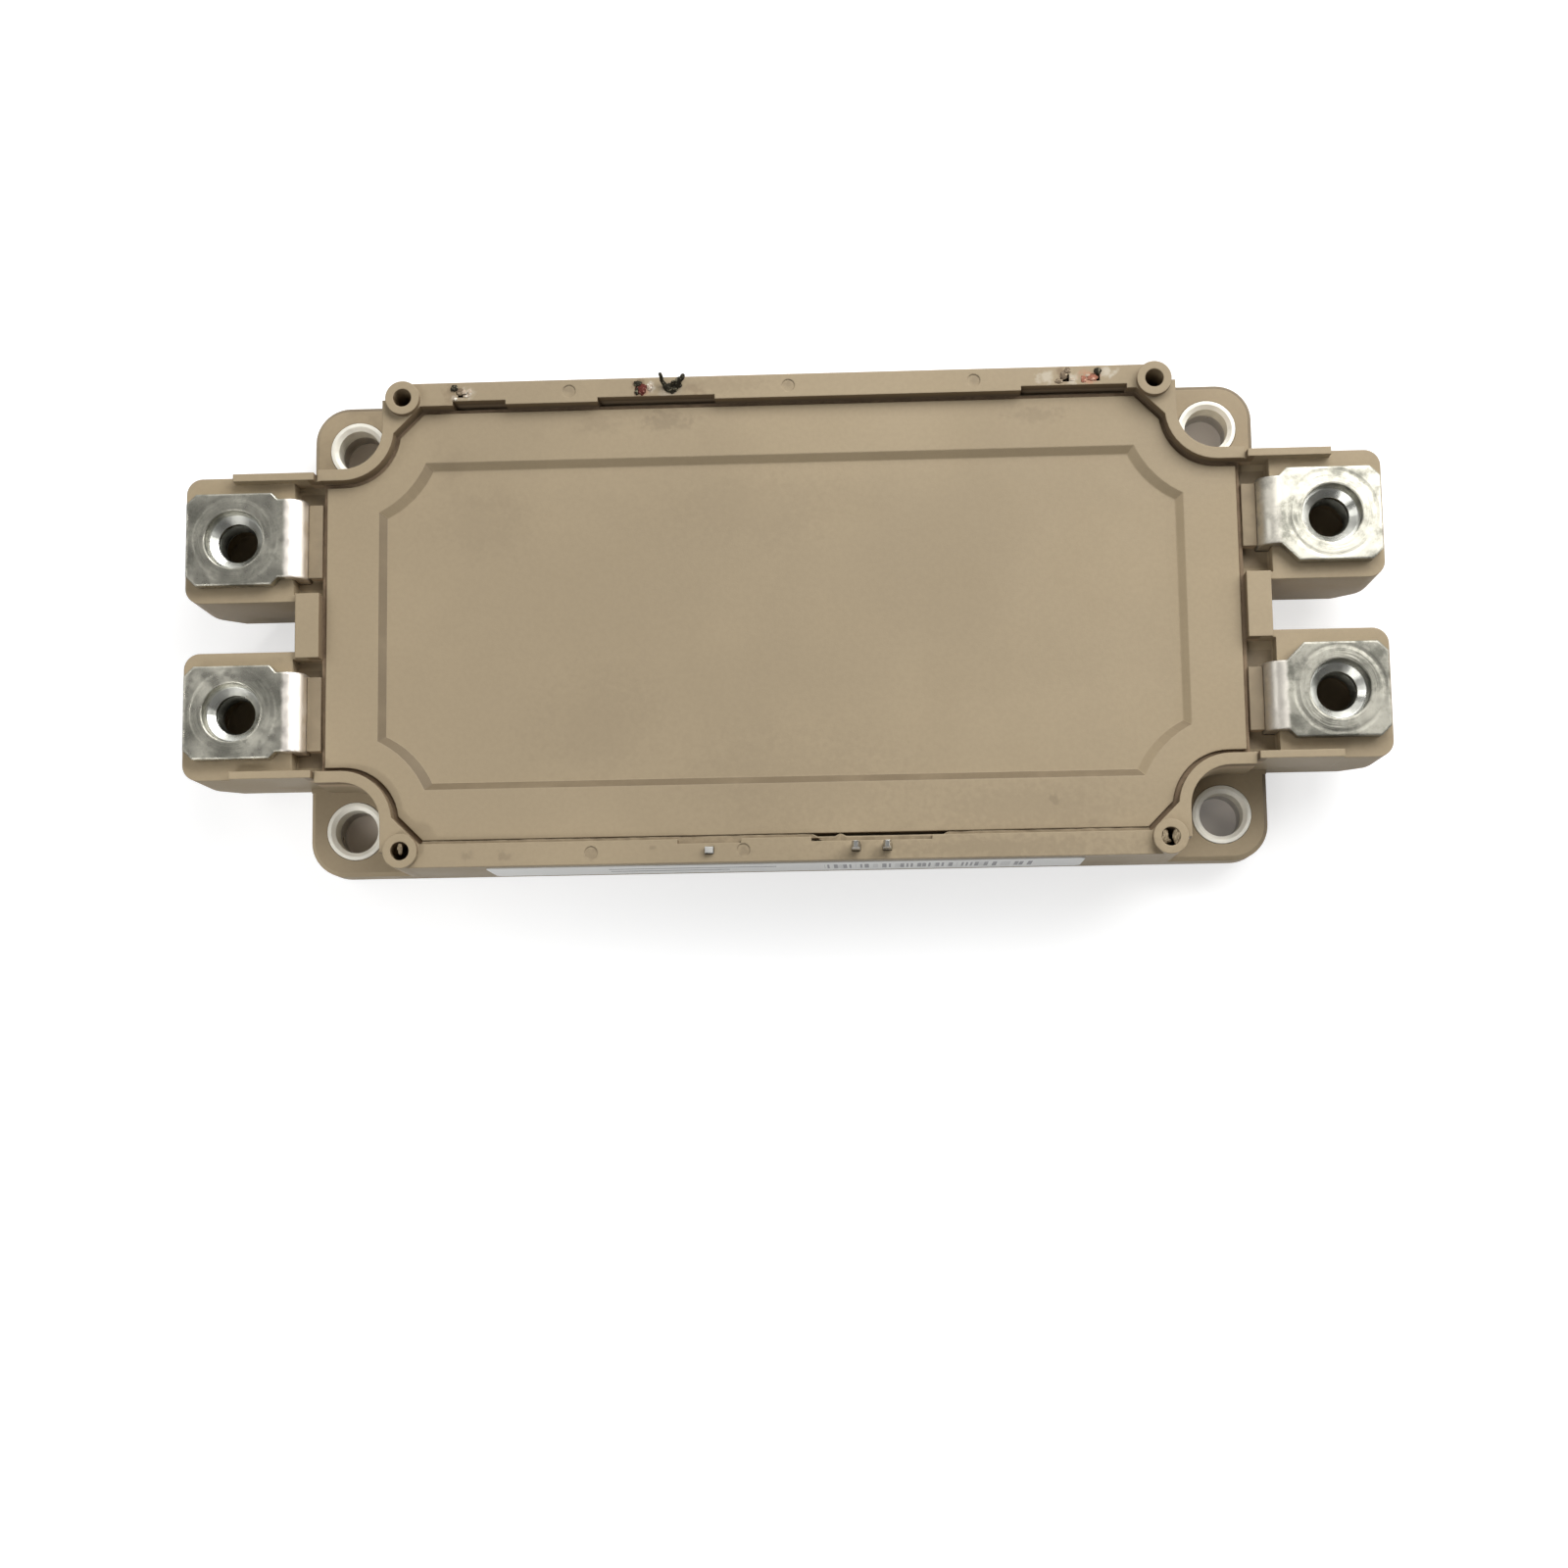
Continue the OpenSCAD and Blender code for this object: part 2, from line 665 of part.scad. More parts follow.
// sheet outline of the neck's bend, the leg in the end wall and the arm into the case
module riser_outline(grow) {
    low = arm_z + tab_t + small_bend_r;
    bend(bend_x, tab_top - bend_r, bend_r - tab_t, 90, grow);
    translate([leg_x - grow, low]) square([tab_t + 2 * grow, tab_top - bend_r - low]);
    bend(leg_x - small_bend_r, low, small_bend_r, -90, grow);
    translate([arm_x0, arm_z - grow])
        square([leg_x - small_bend_r - arm_x0, tab_t + 2 * grow]);
}

// sheet outline of the drop from the arm to the foot that is soldered to the circuit
module foot_outline() {
    foot_bend_z = circuit_top + tab_t + small_bend_r;
    bend(arm_x0, arm_z - small_bend_r, small_bend_r, 90, 0);
    translate([drop_x, foot_bend_z]) square([tab_t, arm_z - small_bend_r - foot_bend_z]);
    bend(drop_x - small_bend_r, foot_bend_z, small_bend_r, -90, 0);
    translate([drop_x - small_bend_r - foot_l, circuit_top]) square([foot_l, tab_t]);
}

// places a child at one terminal: end is 1 at the phase end, side is 1 at the rear
module at_terminal(end, side) {
    mirror([end > 0 ? 0 : 1, 0, 0]) mirror([0, side > 0 ? 0 : 1, 0]) children();
}

// edges of a neck across the module: inner and outer
function neck_edges(end) =
    let (outer = tab_out - (end > 0 ? phase_neck_step : supply_neck_step))
    [outer - (end > 0 ? phase_neck_w : supply_neck_w), outer];

// neck, leg and arm; grow is the gap that the moulding leaves round them
module busbar_riser(end, side, grow) {
    neck = neck_edges(end);
    at_terminal(end, side) across(neck[0] - grow, neck[1] + grow) riser_outline(grow);
}

module terminal_tab(end, side) {
    neck = neck_edges(end);
    flare = end > 0 ? phase_flare : supply_flare;
    neck_x = bend_x + (end > 0 ? phase_neck_l : supply_neck_l);
    at_terminal(end, side) translate([0, 0, tab_under]) linear_extrude(tab_t) difference() {
        polygon([
            [bend_x, neck[0]], [neck_x, neck[0]], [neck_x + flare, tab_in],
            [tab_end - tab_chamfer, tab_in], [tab_end, tab_in + tab_chamfer],
            [tab_end, tab_out - tab_chamfer], [tab_end - tab_chamfer, tab_out],
            [neck_x + tab_out - neck[1], tab_out], [neck_x, neck[1]], [bend_x, neck[1]]
        ]);
        translate([term_x, term_y]) circle(d = tab_hole_d);
    }
}

// one terminal with its busbar, whose foot is centred on foot_y
module busbar(end, side, foot_y, foot_w) {
    color(metal_colour) {
        terminal_tab(end, side);
        busbar_riser(end, side, 0);
        mirror([end > 0 ? 0 : 1, 0, 0]) {
            across(foot_y - foot_w / 2, foot_y + foot_w / 2) foot_outline();
            // cross arm from the riser's arm to the foot
            if (end > 0) {
                near = foot_y - side * foot_w / 2;
                outer = side * neck_edges(end)[1];
                translate([arm_x0, min(near, outer), arm_z]) cube([tab_t, abs(outer - near), tab_t]);
            }
        }
    }
}

// ---- control pins ----

// one L-shaped pin; grow is the gap that the moulding leaves round it
module pin_solid(pin, grow) {
    w = pin_w / 2 + grow;
    tip = case_top + (pin[2] ? pin_rise : stub_rise);
    // a whole pin is pointed, a broken one ends on a slant
    outline = pin[2] || grow > 0
        ? [[-w, shelf_top], [w, shelf_top], [w, tip - pin_point], [w / 2, tip], [-w / 2, tip],
           [-w, tip - pin_point]]
        : [[-w, shelf_top], [w, shelf_top], [w, tip - stub_rise / 2], [-w, tip]];
    translate([pin[0], 0, 0]) mirror([0, pin[1] > 0 ? 0 : 1, 0]) {
        across(pin_y - pin_t / 2 - grow, pin_y + pin_t / 2 + grow) polygon(outline);
        translate([-w, pin_foot_y, shelf_top]) cube([2 * w, pin_foot_l, pin_t + grow]);
    }
}

module control_pin(i) color(metal_colour) pin_solid(pins[i], 0);

// ---- substrates, chips and bond wires ----

function sub_x(i) = (i - 1) * sub_pitch;
// how far track i's rear edge lies from the first track's rear edge
function track_offset(i) = i > 0 ? track_offset(i - 1) + track_widths[i - 1] + track_gap : 0;
function track_y(i) = sub_w / 2 - ceramic_edge - track_offset(i) - track_widths[i] / 2;
// chips sit in the middle of the positive track and in front of the phase track's landing strip
function chip_y(t) = track_y(t) - (track_widths[t] - chip_track_w) / 2;

module layer(i, l, w, z, t)
    translate([sub_x(i), 0, z + t / 2]) cube([l, w, t], center = true);

module substrate_solder(i)
    color("#9aa0a4") layer(i, track_l, sub_w - 2 * ceramic_edge, plate_t, solder_t);

module substrate_back_copper(i)
    color(copper_colour) layer(i, track_l, sub_w - 2 * ceramic_edge, plate_t + solder_t, copper_t);

module substrate_ceramic(i)
    color("#f2f0ea") layer(i, sub_l, sub_w, plate_t + solder_t + copper_t, ceramic_t);

// the third substrate's rear signal tracks are parted, for the thermistor's two pads
module substrate_circuit(i) color(copper_colour) difference() {
    for (t = [0:last_track])
        translate([0, track_y(t), 0]) layer(i, track_l, track_widths[t], circuit_top - copper_t, copper_t);
    if (i == 2)
        translate([sub_x(i) - track_gap / 2, track_y(plus_track) + chip_track_w / 2, circuit_top - copper_t])
            cube([track_gap, far, copper_t]);
}

// chips alternate between the positive track and the phase track
module chip(i, x, side) color("#3c4048")
    translate([sub_x(floor(i / 2)) + x, chip_y(i % 2 == 0 ? plus_track : phase_track), circuit_top])
        linear_extrude(chip_t) square(side, center = true);

// a quarter turn of wire about Y, from straight up at X 0 to level at X r
module wire_turn(r, d) {
    translate([r, 0, 0]) rotate([90, 0, 0]) rotate([0, 0, 90])
        rotate_extrude(angle = 90, $fn = 32) translate([r, 0]) circle(d = d, $fn = 16);
}

// a bonded wire that rises from a, runs level and comes down on b
module bond_wire(a, b, r, d) {
    run = norm([b.x - a.x, b.y - a.y]);
    base = max(a.z, b.z);
    translate([a.x, a.y, base]) rotate([0, 0, atan2(b.y - a.y, b.x - a.x)]) {
        wire_turn(r, d);
        translate([run, 0, 0]) mirror([1, 0, 0]) wire_turn(r, d);
        translate([r, 0, r]) rotate([0, 90, 0]) cylinder(h = run - 2 * r, d = d, $fn = 16);
        if (a.z < base) translate([0, 0, a.z - base]) cylinder(h = base - a.z, d = d, $fn = 16);
        if (b.z < base) translate([run, 0, b.z - base]) cylinder(h = base - b.z, d = d, $fn = 16);
    }
}

module power_wire(a, b) bond_wire(a, b, power_wire_r, power_wire_d);
module signal_wire(a, b) bond_wire(a, b, signal_wire_r, signal_wire_d);

function spread(k, step) = (k - (wires_abreast - 1) / 2) * step;

// wires from each switch to its diode, and from the diode on to the next track
module chip_bond_wires(i) color(wire_colour) translate([sub_x(i), 0, 0])
    for (t = [plus_track, phase_track], k = [0:wires_abreast - 1]) {
        y = chip_y(t) + spread(k, wire_step);
        x = diode_x + diode_side / 6 + spread(k, close_step);
        diode_edge = chip_y(t) - diode_side / 2 + bond_edge;
        next_y = t == plus_track ? track_y(t + 1) + (chip_track_w / 2) : track_y(t + 1);
        power_wire([igbt_x, y, chip_top], [diode_x - diode_side / 6, y, chip_top]);
        power_wire([x, diode_edge, chip_top], [x, next_y, circuit_top]);
    }

// wires that join the like power tracks of neighbouring substrates
module link_bond_wires() color(wire_colour)
    for (i = [0, 1], t = [plus_track:minus_track], k = [0:wires_abreast - 1]) {
        y = track_y(t) + spread(k, close_step);
        power_wire([sub_x(i) + track_l / 2 - bond_edge, y, circuit_top],
                   [sub_x(i + 1) - track_l / 2 + bond_edge, y, circuit_top]);
    }

// gate and sense wires of one switch on track t, towards the side of the case it faces
module switch_signal_wires(i, t, side) {
    bond_y = chip_y(t) + side * (igbt_side / 2 - bond_edge);
    gate_y = side * track_y(0);
    sense_y = side * track_y(1);
    x = sub_x(i) + igbt_x;
    signal_wire([x - signal_bond_x, bond_y, chip_top], [x - signal_bond_x, gate_y, circuit_top]);
    signal_wire([x + signal_bond_x, bond_y, chip_top], [x + signal_bond_x, sense_y, circuit_top]);
}

// a pin's wire lands in the middle of a signal track, and near the outer edge of a wide one
function landing_y(t, side) =
    track_y(t) + side * (track_widths[t] - signal_track_w) / 2;

module signal_bond_wires() color(wire_colour) {
    for (i = [0:2]) {
        switch_signal_wires(i, plus_track, 1);
        switch_signal_wires(i, phase_track, -1);
    }
    for (i = [0, 1], t = [0, 1, last_track - 1, last_track])
        signal_wire([sub_x(i) + track_l / 2 - bond_edge, track_y(t), circuit_top],
                    [sub_x(i + 1) - track_l / 2 + bond_edge, track_y(t), circuit_top]);
    for (p = pins)
        signal_wire([p[0], p[1] * (pin_foot_y + bond_edge), shelf_top + pin_t],
                    [sub_x(p[3]) + p[5], landing_y(p[4], p[1]), circuit_top]);
}

// bridges the two pads of the third substrate
module thermistor() {
    x = sub_x(2) + track_l / 2 - thermistor_edge;
    color("#5a5f66") translate([x, (track_y(0) + track_y(1)) / 2, circuit_top])
        linear_extrude(thermistor_h) square([thermistor_l, 2 * signal_track_w + track_gap], center = true);
}

module silicone_gel() {
    color([0.85, 0.88, 0.9, 0.6]) translate([0, 0, gel_top - gel_t])
        linear_extrude(gel_t) opening_outline(ledge_w + insert_gap);
}

module side_label() {
    color("#f6f6f4") translate([0, -side_y, label_z]) rotate([90, 0, 0])
        linear_extrude(label_t) rounded_rect(label_l, label_h, label_r);
}

// ---- assembly ----

foot_step = phase_foot_pitch / 2;
base_plate();
case_adhesive();
case_frame();
lid();
mounting_bushes();
terminal_nuts();
busbar(-1, 1, track_y(plus_track), plus_foot_w);  // busbar_plus
busbar(-1, -1, track_y(minus_track), minus_foot_w);  // busbar_minus
busbar(1, 1, track_y(phase_track) + foot_step, phase_foot_w);  // busbar_phase_rear
busbar(1, -1, track_y(phase_track) - foot_step, phase_foot_w);  // busbar_phase_front
for (i = [0:4]) control_pin(i);
for (i = [0:2]) control_pin(i + 5);
for (i = [0:2]) {
    substrate_solder(i);
    substrate_back_copper(i);
    substrate_ceramic(i);
    substrate_circuit(i);
    chip_bond_wires(i);
}
for (i = [0:5]) {
    chip(i, igbt_x, igbt_side);
    chip(i, diode_x, diode_side);
}
link_bond_wires();
signal_bond_wires();
thermistor();
silicone_gel();
side_label();
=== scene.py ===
import json
import math
import random

import bmesh
import bpy
from bpy.props import FloatProperty, FloatVectorProperty, IntProperty, PointerProperty
from mathutils import Matrix, Vector, noise


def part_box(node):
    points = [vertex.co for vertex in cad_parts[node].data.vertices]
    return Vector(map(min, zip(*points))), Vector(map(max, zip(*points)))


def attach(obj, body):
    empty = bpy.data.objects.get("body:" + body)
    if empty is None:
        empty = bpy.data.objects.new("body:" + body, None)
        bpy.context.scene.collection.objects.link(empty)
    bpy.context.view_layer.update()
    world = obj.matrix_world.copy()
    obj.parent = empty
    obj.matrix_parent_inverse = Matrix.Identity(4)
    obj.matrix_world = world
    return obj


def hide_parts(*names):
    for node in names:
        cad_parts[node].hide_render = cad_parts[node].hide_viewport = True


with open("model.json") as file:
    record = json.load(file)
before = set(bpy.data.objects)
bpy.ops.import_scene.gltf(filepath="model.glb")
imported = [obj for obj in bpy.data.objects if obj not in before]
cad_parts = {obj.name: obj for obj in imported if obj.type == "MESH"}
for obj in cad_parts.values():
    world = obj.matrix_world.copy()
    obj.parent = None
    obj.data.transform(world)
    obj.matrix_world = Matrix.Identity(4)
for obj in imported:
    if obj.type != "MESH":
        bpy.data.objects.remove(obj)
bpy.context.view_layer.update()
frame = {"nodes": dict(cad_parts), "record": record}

bl_info = {
    "name": "Power Module Dressing",
    "version": (1, 0, 0),
    "blender": (4, 5, 0),
    "location": "View3D > Sidebar > Module",
    "description": "Finishes, pins, threads and stage for a half-bridge power module",
    "category": "Object",
}

MM = 0.001
MOUNTS = {mount["name"]: mount for mount in frame["record"]["mounts"]}


def half_spacing(mount):
    """Half the distances between a rectangular pattern's holes along X and Y, in metres."""
    dims = MOUNTS[mount]["dims"]
    return dims["spacing_x_mm"] * MM / 2, dims["spacing_y_mm"] * MM / 2


TERMINAL_X, TERMINAL_Y = half_spacing("terminal_bolts")
HOLE_X, HOLE_Y = half_spacing("heat_sink_bolts")
POST_X, POST_Y = half_spacing("board_screws")
POST_TOP = MOUNTS["board_screws"]["pos_m"][2]
WALL_TOP = POST_TOP - 1.0 * MM


# ---- properties ----


def colour(name, description, default):
    """A colour that a user may change."""
    return FloatVectorProperty(
        name=name, description=description, subtype="COLOR", size=3, min=0, max=1, default=default
    )


def length(name, description, default_mm):
    """A length that a user may change, given in millimetres and kept in metres."""
    return FloatProperty(name=name, description=description, unit="LENGTH", default=default_mm * MM)


class PlasticSettings(bpy.types.PropertyGroup):
    """Finish of the moulded case and its lid."""

    base: colour("Plastic", "Colour of the moulded plastic", (0.338, 0.268, 0.172))
    # this colour tints the small dark specks, and is also the painted shade in the gaps
    grime_and_shade: colour("Grime", "Colour of the dirt that gathers in the gaps", (0.19, 0.135, 0.08))
    # this colour tints the smudges and stains, and also the painted shade over the front of the lid and
    # beside the terminals' necks
    stain_and_shade: colour("Stain", "Colour of the smudges on the lid", (0.20, 0.155, 0.10))
    edge: length("Edge rounding", "Radius of the moulded edges", 0.22)
    # the reach of the ambient occlusion that paints shade into the gaps
    shade_reach: length("Grime reach", "How wide a gap still gathers dirt", 1.1)
    roughness: FloatProperty(
        name="Roughness", description="Roughness of the moulded plastic", default=0.6, min=0, max=1
    )


class MetalSettings(bpy.types.PropertyGroup):
    """Finishes of the terminals, nuts, bushes, pins and base plate."""

    terminal: colour("Terminal", "Plating of the screw terminals", (0.73, 0.705, 0.60))
    smear: colour("Smear", "Oxidised patches on the terminals", (0.25, 0.245, 0.205))
    nut: colour("Nut", "Plating of the captive nuts", (0.72, 0.72, 0.66))
    bush: colour("Bush", "Plating of the mounting bushes", (0.90, 0.87, 0.77))
    plate: colour("Base plate", "Nickel on the base plate", (0.60, 0.585, 0.55))
    pin: colour("Pin", "Tin on the whole pins", (0.70, 0.69, 0.65))
    imprint_r: length("Imprint radius", "Radius of the ring that a washer pressed in", 5.4)
    imprint_w: length("Imprint width", "Width of the ring that a washer pressed in", 0.5)


class DustSettings(bpy.types.PropertyGroup):
    """Dust packed in the gap round the lid."""

    tint: colour("Front dust", "Colour of the dust packed along the front", (0.36, 0.285, 0.185))
    # the darker colour of this dust is painted shade of the gap round the rear and sides
    dark: colour("Dark dust", "Colour of the dust packed round the other sides", (0.24, 0.17, 0.105))
    below: length("Front depth", "How far the front dust lies under the lid's face", 0.1)
    deep: length("Depth", "How far the other dust lies under the lid's face", 0.5)
    width: length("Width", "Width of the packed gap", 0.55)


class ThreadSettings(bpy.types.PropertyGroup):
    """Thread in the captive nuts."""

    pitch: length("Pitch", "Rise of the thread in one turn", 1.0)
    depth: length("Depth", "Height of the thread's crest over the bore", 0.22)
    steps: IntProperty(name="Steps", description="Steps in one turn", default=40, min=12, max=96)


class LabelSettings(bpy.types.PropertyGroup):
    """Print on the front label."""

    film: colour("Film", "Colour of the label's film", (0.76, 0.76, 0.73))
    ink: colour("Ink", "Colour of the printed bars", (0.06, 0.06, 0.07))
    bar: length("Bar pitch", "Distance between printed bars", 0.55)


class StageSettings(bpy.types.PropertyGroup):
    """Camera, lights, floor and backdrop."""

    camera_place: FloatVectorProperty(
        name="Camera place", description="Where the camera stands", subtype="TRANSLATION",
        size=3, default=(0.01127, -0.05888, 0.30386),
    )
    camera_turn: FloatVectorProperty(
        name="Camera turn", description="Rotation of the camera", subtype="EULER", size=3,
        default=tuple(math.radians(angle) for angle in (7.403, 2.314, -0.874)),
    )
    lens_mm: FloatProperty(name="Lens", description="Focal length in millimetres", default=54.17)
    floor: colour("Floor", "Colour of the floor and backdrop", (0.6, 0.6, 0.6))


# ---- nodes ----


def add(tree, kind, inputs=None, **settings):
    """Adds a shader node, with its settings and with its inputs set or linked."""
    made = tree.nodes.new(kind)
    for name, value in settings.items():
        setattr(made, name, value)
    for name, value in (inputs or {}).items():
        socket = made.inputs[name]
        if isinstance(value, bpy.types.NodeSocket):
            tree.links.new(value, socket)
        else:
            socket.default_value = value
    return made


def new_material(name):
    """An empty node material: returns it, its tree and its surface shader."""
    material = bpy.data.materials.new(name)
    material.use_nodes = True
    tree = material.node_tree
    shader = tree.nodes["Principled BSDF"]
    return material, tree, shader


def rgba(values):
    """A colour with full alpha."""
    return (*values, 1.0)


def place(tree):
    """Object coordinates."""
    return add(tree, "ShaderNodeTexCoord").outputs["Object"]


def stretched(tree, scale):
    """Object coordinates, scaled by a different amount along each axis."""
    return add(tree, "ShaderNodeMapping", {"Vector": place(tree), "Scale": scale}).outputs["Vector"]


def noise_value(tree, scale, detail=2.0, vector=None, roughness=0.5):
    """A noise pattern from 0 to 1."""
    return add(
        tree, "ShaderNodeTexNoise",
        {"Vector": vector or place(tree), "Scale": scale, "Detail": detail, "Roughness": roughness},
    ).outputs["Fac"]


def ranged(tree, value, low, high, to_low=0.0, to_high=1.0):
    """A value's stretch from low to high, mapped smoothly to another stretch and held there."""
    return add(
        tree, "ShaderNodeMapRange",
        {"Value": value, "From Min": low, "From Max": high, "To Min": to_low, "To Max": to_high},
        interpolation_type="SMOOTHSTEP",
    ).outputs["Result"]


def math_node(tree, operation, first, second=0.5):
    """One step of arithmetic."""
    made = add(tree, "ShaderNodeMath", operation=operation)
    for socket, value in zip(made.inputs, (first, second)):
        if isinstance(value, bpy.types.NodeSocket):
            tree.links.new(value, socket)
        else:
            socket.default_value = value
    return made.outputs["Value"]


def mixed(tree, factor, first, second):
    """Two colours mixed by a factor."""
    made = add(tree, "ShaderNodeMix", data_type="RGBA")
    for socket, value in zip((made.inputs[0], made.inputs[6], made.inputs[7]), (factor, first, second)):
        if isinstance(value, bpy.types.NodeSocket):
            tree.links.new(value, socket)
        else:
            socket.default_value = value
    return made.outputs[2]


def bumped(tree, height, depth, normal=None):
    """A normal that a height pattern tilts, with the pattern's depth in metres."""
    made = add(tree, "ShaderNodeBump", {"Height": height, "Distance": depth, "Strength": 1.0})
    if normal:
        tree.links.new(normal, made.inputs["Normal"])
    return made.outputs["Normal"]


def rounded(tree, radius):
    """A normal that rounds every sharp edge."""
    return add(tree, "ShaderNodeBevel", {"Radius": radius}, samples=6).outputs["Normal"]


def distance_to(tree, centre, fold=False):
    """Distance in plan from a centre, or from its four mirrored copies if fold is true."""
    point = place(tree)
    if fold:
        point = add(tree, "ShaderNodeVectorMath", {0: point}, operation="ABSOLUTE").outputs["Vector"]
    offset = add(
        tree, "ShaderNodeVectorMath", {0: point, 1: (*centre, 0)}, operation="SUBTRACT"
    ).outputs["Vector"]
    flat = add(
        tree, "ShaderNodeVectorMath", {0: offset, 1: (1, 1, 0)}, operation="MULTIPLY"
    ).outputs["Vector"]
    return add(tree, "ShaderNodeVectorMath", {0: flat}, operation="LENGTH").outputs["Value"], flat


# ---- materials ----


def facing(tree):
    """Where a face looks, along X, Y and Z of the module, each by itself."""
    normal = add(
        tree, "ShaderNodeVectorTransform",
        {0: add(tree, "ShaderNodeNewGeometry").outputs["True Normal"]},
        vector_type="NORMAL", convert_from="WORLD", convert_to="OBJECT",
    ).outputs[0]
    parts = add(tree, "ShaderNodeSeparateXYZ", {0: normal}).outputs
    return parts[0], parts[1], parts[2]


def gap_wall_shade(tree):
    """Painted shade on the upright faces of the gap between the lid and the walls."""
    x, y, z = (math_node(tree, "ABSOLUTE", value) for value in split(tree))
    upright = ranged(tree, facing(tree)[2], 0.1, 0.25, 1.0, 0.0)
    inside = math_node(tree, "MULTIPLY", ranged(tree, x, 59.2 * MM, 59.4 * MM, 1.0, 0.0),
                       ranged(tree, y, 29.0 * MM, 29.2 * MM, 1.0, 0.0))
    high = ranged(tree, z, WALL_TOP - 4.5 * MM, WALL_TOP - 3.5 * MM)
    return math_node(tree, "MULTIPLY", math_node(tree, "MULTIPLY", upright, inside), high)


def slope_shading(tree, low, high):
    """A strength on the slope round the lid's panel, set by the way the slope faces, from its rear right to
    its front left side, for painted shade and painted light.
    """
    x, y, z = facing(tree)
    slope = math_node(tree, "MULTIPLY", ranged(tree, z, 0.3, 0.5), ranged(tree, z, 0.9, 0.97, 1.0, 0.0))
    # noise breaks the painted shade and light on the slopes into patches
    worn = ranged(tree, noise_value(tree, 160, 3), 0.25, 0.6, 0.75, 1.0)
    return math_node(tree, "MULTIPLY", math_node(tree, "MULTIPLY", slope, worn),
                     ranged(tree, math_node(tree, "ADD", x, y), -0.7, 0.7, low, high))


def plastic_material():
    """Matt glass-filled plastic, blotchy and smudged, with painted shade in its gaps and on some slopes
    round the panel, and painted light on the others.
    """
    look = bpy.context.scene.module_plastic
    material, tree, shader = new_material("case_plastic_finish")
    blotch = ranged(tree, noise_value(tree, 28, 4), 0.35, 0.7)
    streak = ranged(tree, noise_value(tree, 1, 3, stretched(tree, (14, 160, 60))), 0.3, 0.75)
    speck = ranged(tree, noise_value(tree, 1800, 3), 0.3, 0.7)
    pale = tuple(channel * 1.07 for channel in look.base)
    dark = tuple(channel * 0.93 for channel in look.base)
    body = mixed(tree, blotch, rgba(dark), rgba(pale))
    body = mixed(tree, math_node(tree, "MULTIPLY", streak, 0.18), body, rgba(dark))
    body = mixed(tree, math_node(tree, "MULTIPLY", speck, 0.10), body, rgba(look.stain_and_shade))
    body = mixed(tree, smudges(tree), body, rgba(look.stain_and_shade))
    body = mixed(tree, spots(tree), body, rgba(look.grime_and_shade))
    body = mixed(tree, neck_stain_and_shade(tree), body, rgba(look.stain_and_shade))
    for tint, patches in BURNS.items():
        patches = [(pin_centre(pin) / MM, *rest) for pin, *rest in patches]
        body = mixed(tree, colour_patches(tree, patches, WALL_TOP - 0.3 * MM), body, rgba(tint))
    # stains on the lid, with painted shade over its front and along the front wall's top
    patches = [(Vector((0, 0, 0)), *rest) for rest in LID_STAINS_AND_SHADE]
    body = mixed(tree, colour_patches(tree, patches, WALL_TOP - 3.0 * MM), body, rgba(look.stain_and_shade))
    patches = [(Vector((x, side * 29.5, 0)), (0, 0), (0.95, 0.8), 0.45) for x, side in PRESS_MARKS]
    body = mixed(tree, colour_patches(tree, patches, WALL_TOP - 0.3 * MM), body, rgba(look.stain_and_shade))
    # the border of the lid's panel: painted shade on its front left slopes, which face the lamps, and
    # painted light on its rear right slopes, which face away from them
    body = mixed(tree, slope_shading(tree, 0.0, 0.62), body, (0.09, 0.064, 0.036, 1))
    slope_light_tint = tuple(channel * 1.8 for channel in look.base)
    body = mixed(tree, slope_shading(tree, 0.2, 0.0), body, rgba(slope_light_tint))
    # painted shade on the upright faces of the gap: pale brown near the top, the grime colour further down
    deep = ranged(tree, split(tree)[2], WALL_TOP - 2.2 * MM, WALL_TOP - 1.5 * MM)
    dirt = mixed(tree, deep, (0.44, 0.33, 0.215, 1), rgba(look.grime_and_shade))
    body = mixed(tree, math_node(tree, "MULTIPLY", gap_wall_shade(tree), 0.85), body, dirt)
    # painted shade: ambient occlusion darkens the gaps and corners near the top of the case towards the
    # grime colour
    gap = add(
        tree, "ShaderNodeAmbientOcclusion", {"Distance": look.shade_reach}, samples=8
    ).outputs["AO"]
    above = ranged(tree, split(tree)[2], WALL_TOP - 3.4 * MM, WALL_TOP - 1.7 * MM, 0.25, 0.8)
    shade = math_node(tree, "MULTIPLY", ranged(tree, gap, 0.10, 0.62, 1.0, 0.0), above)
    body = mixed(tree, shade, body, rgba(look.grime_and_shade))
    tree.links.new(body, shader.inputs["Base Color"])
    low, high = look.roughness - 0.07, look.roughness + 0.07
    tree.links.new(ranged(tree, noise_value(tree, 90, 3), 0.3, 0.7, low, high), shader.inputs["Roughness"])
    shader.inputs["Specular IOR Level"].default_value = 0.3
    grain = bumped(tree, noise_value(tree, 5200, 2), 0.012 * MM, rounded(tree, look.edge))
    tree.links.new(grain, shader.inputs["Normal"])
    return material


def smudges(tree):
    """Faint dirt along the rear of the lid and at its left end."""
    rear = ranged(tree, split(tree)[1], 6 * MM, 27 * MM)
    left = ranged(tree, split(tree)[0], 10 * MM, -45 * MM)
    patch = ranged(tree, noise_value(tree, 75, 5, roughness=0.62), 0.52, 0.72)
    where = math_node(tree, "MULTIPLY", rear, left)
    return math_node(tree, "MULTIPLY", math_node(tree, "MULTIPLY", patch, where), 0.45)


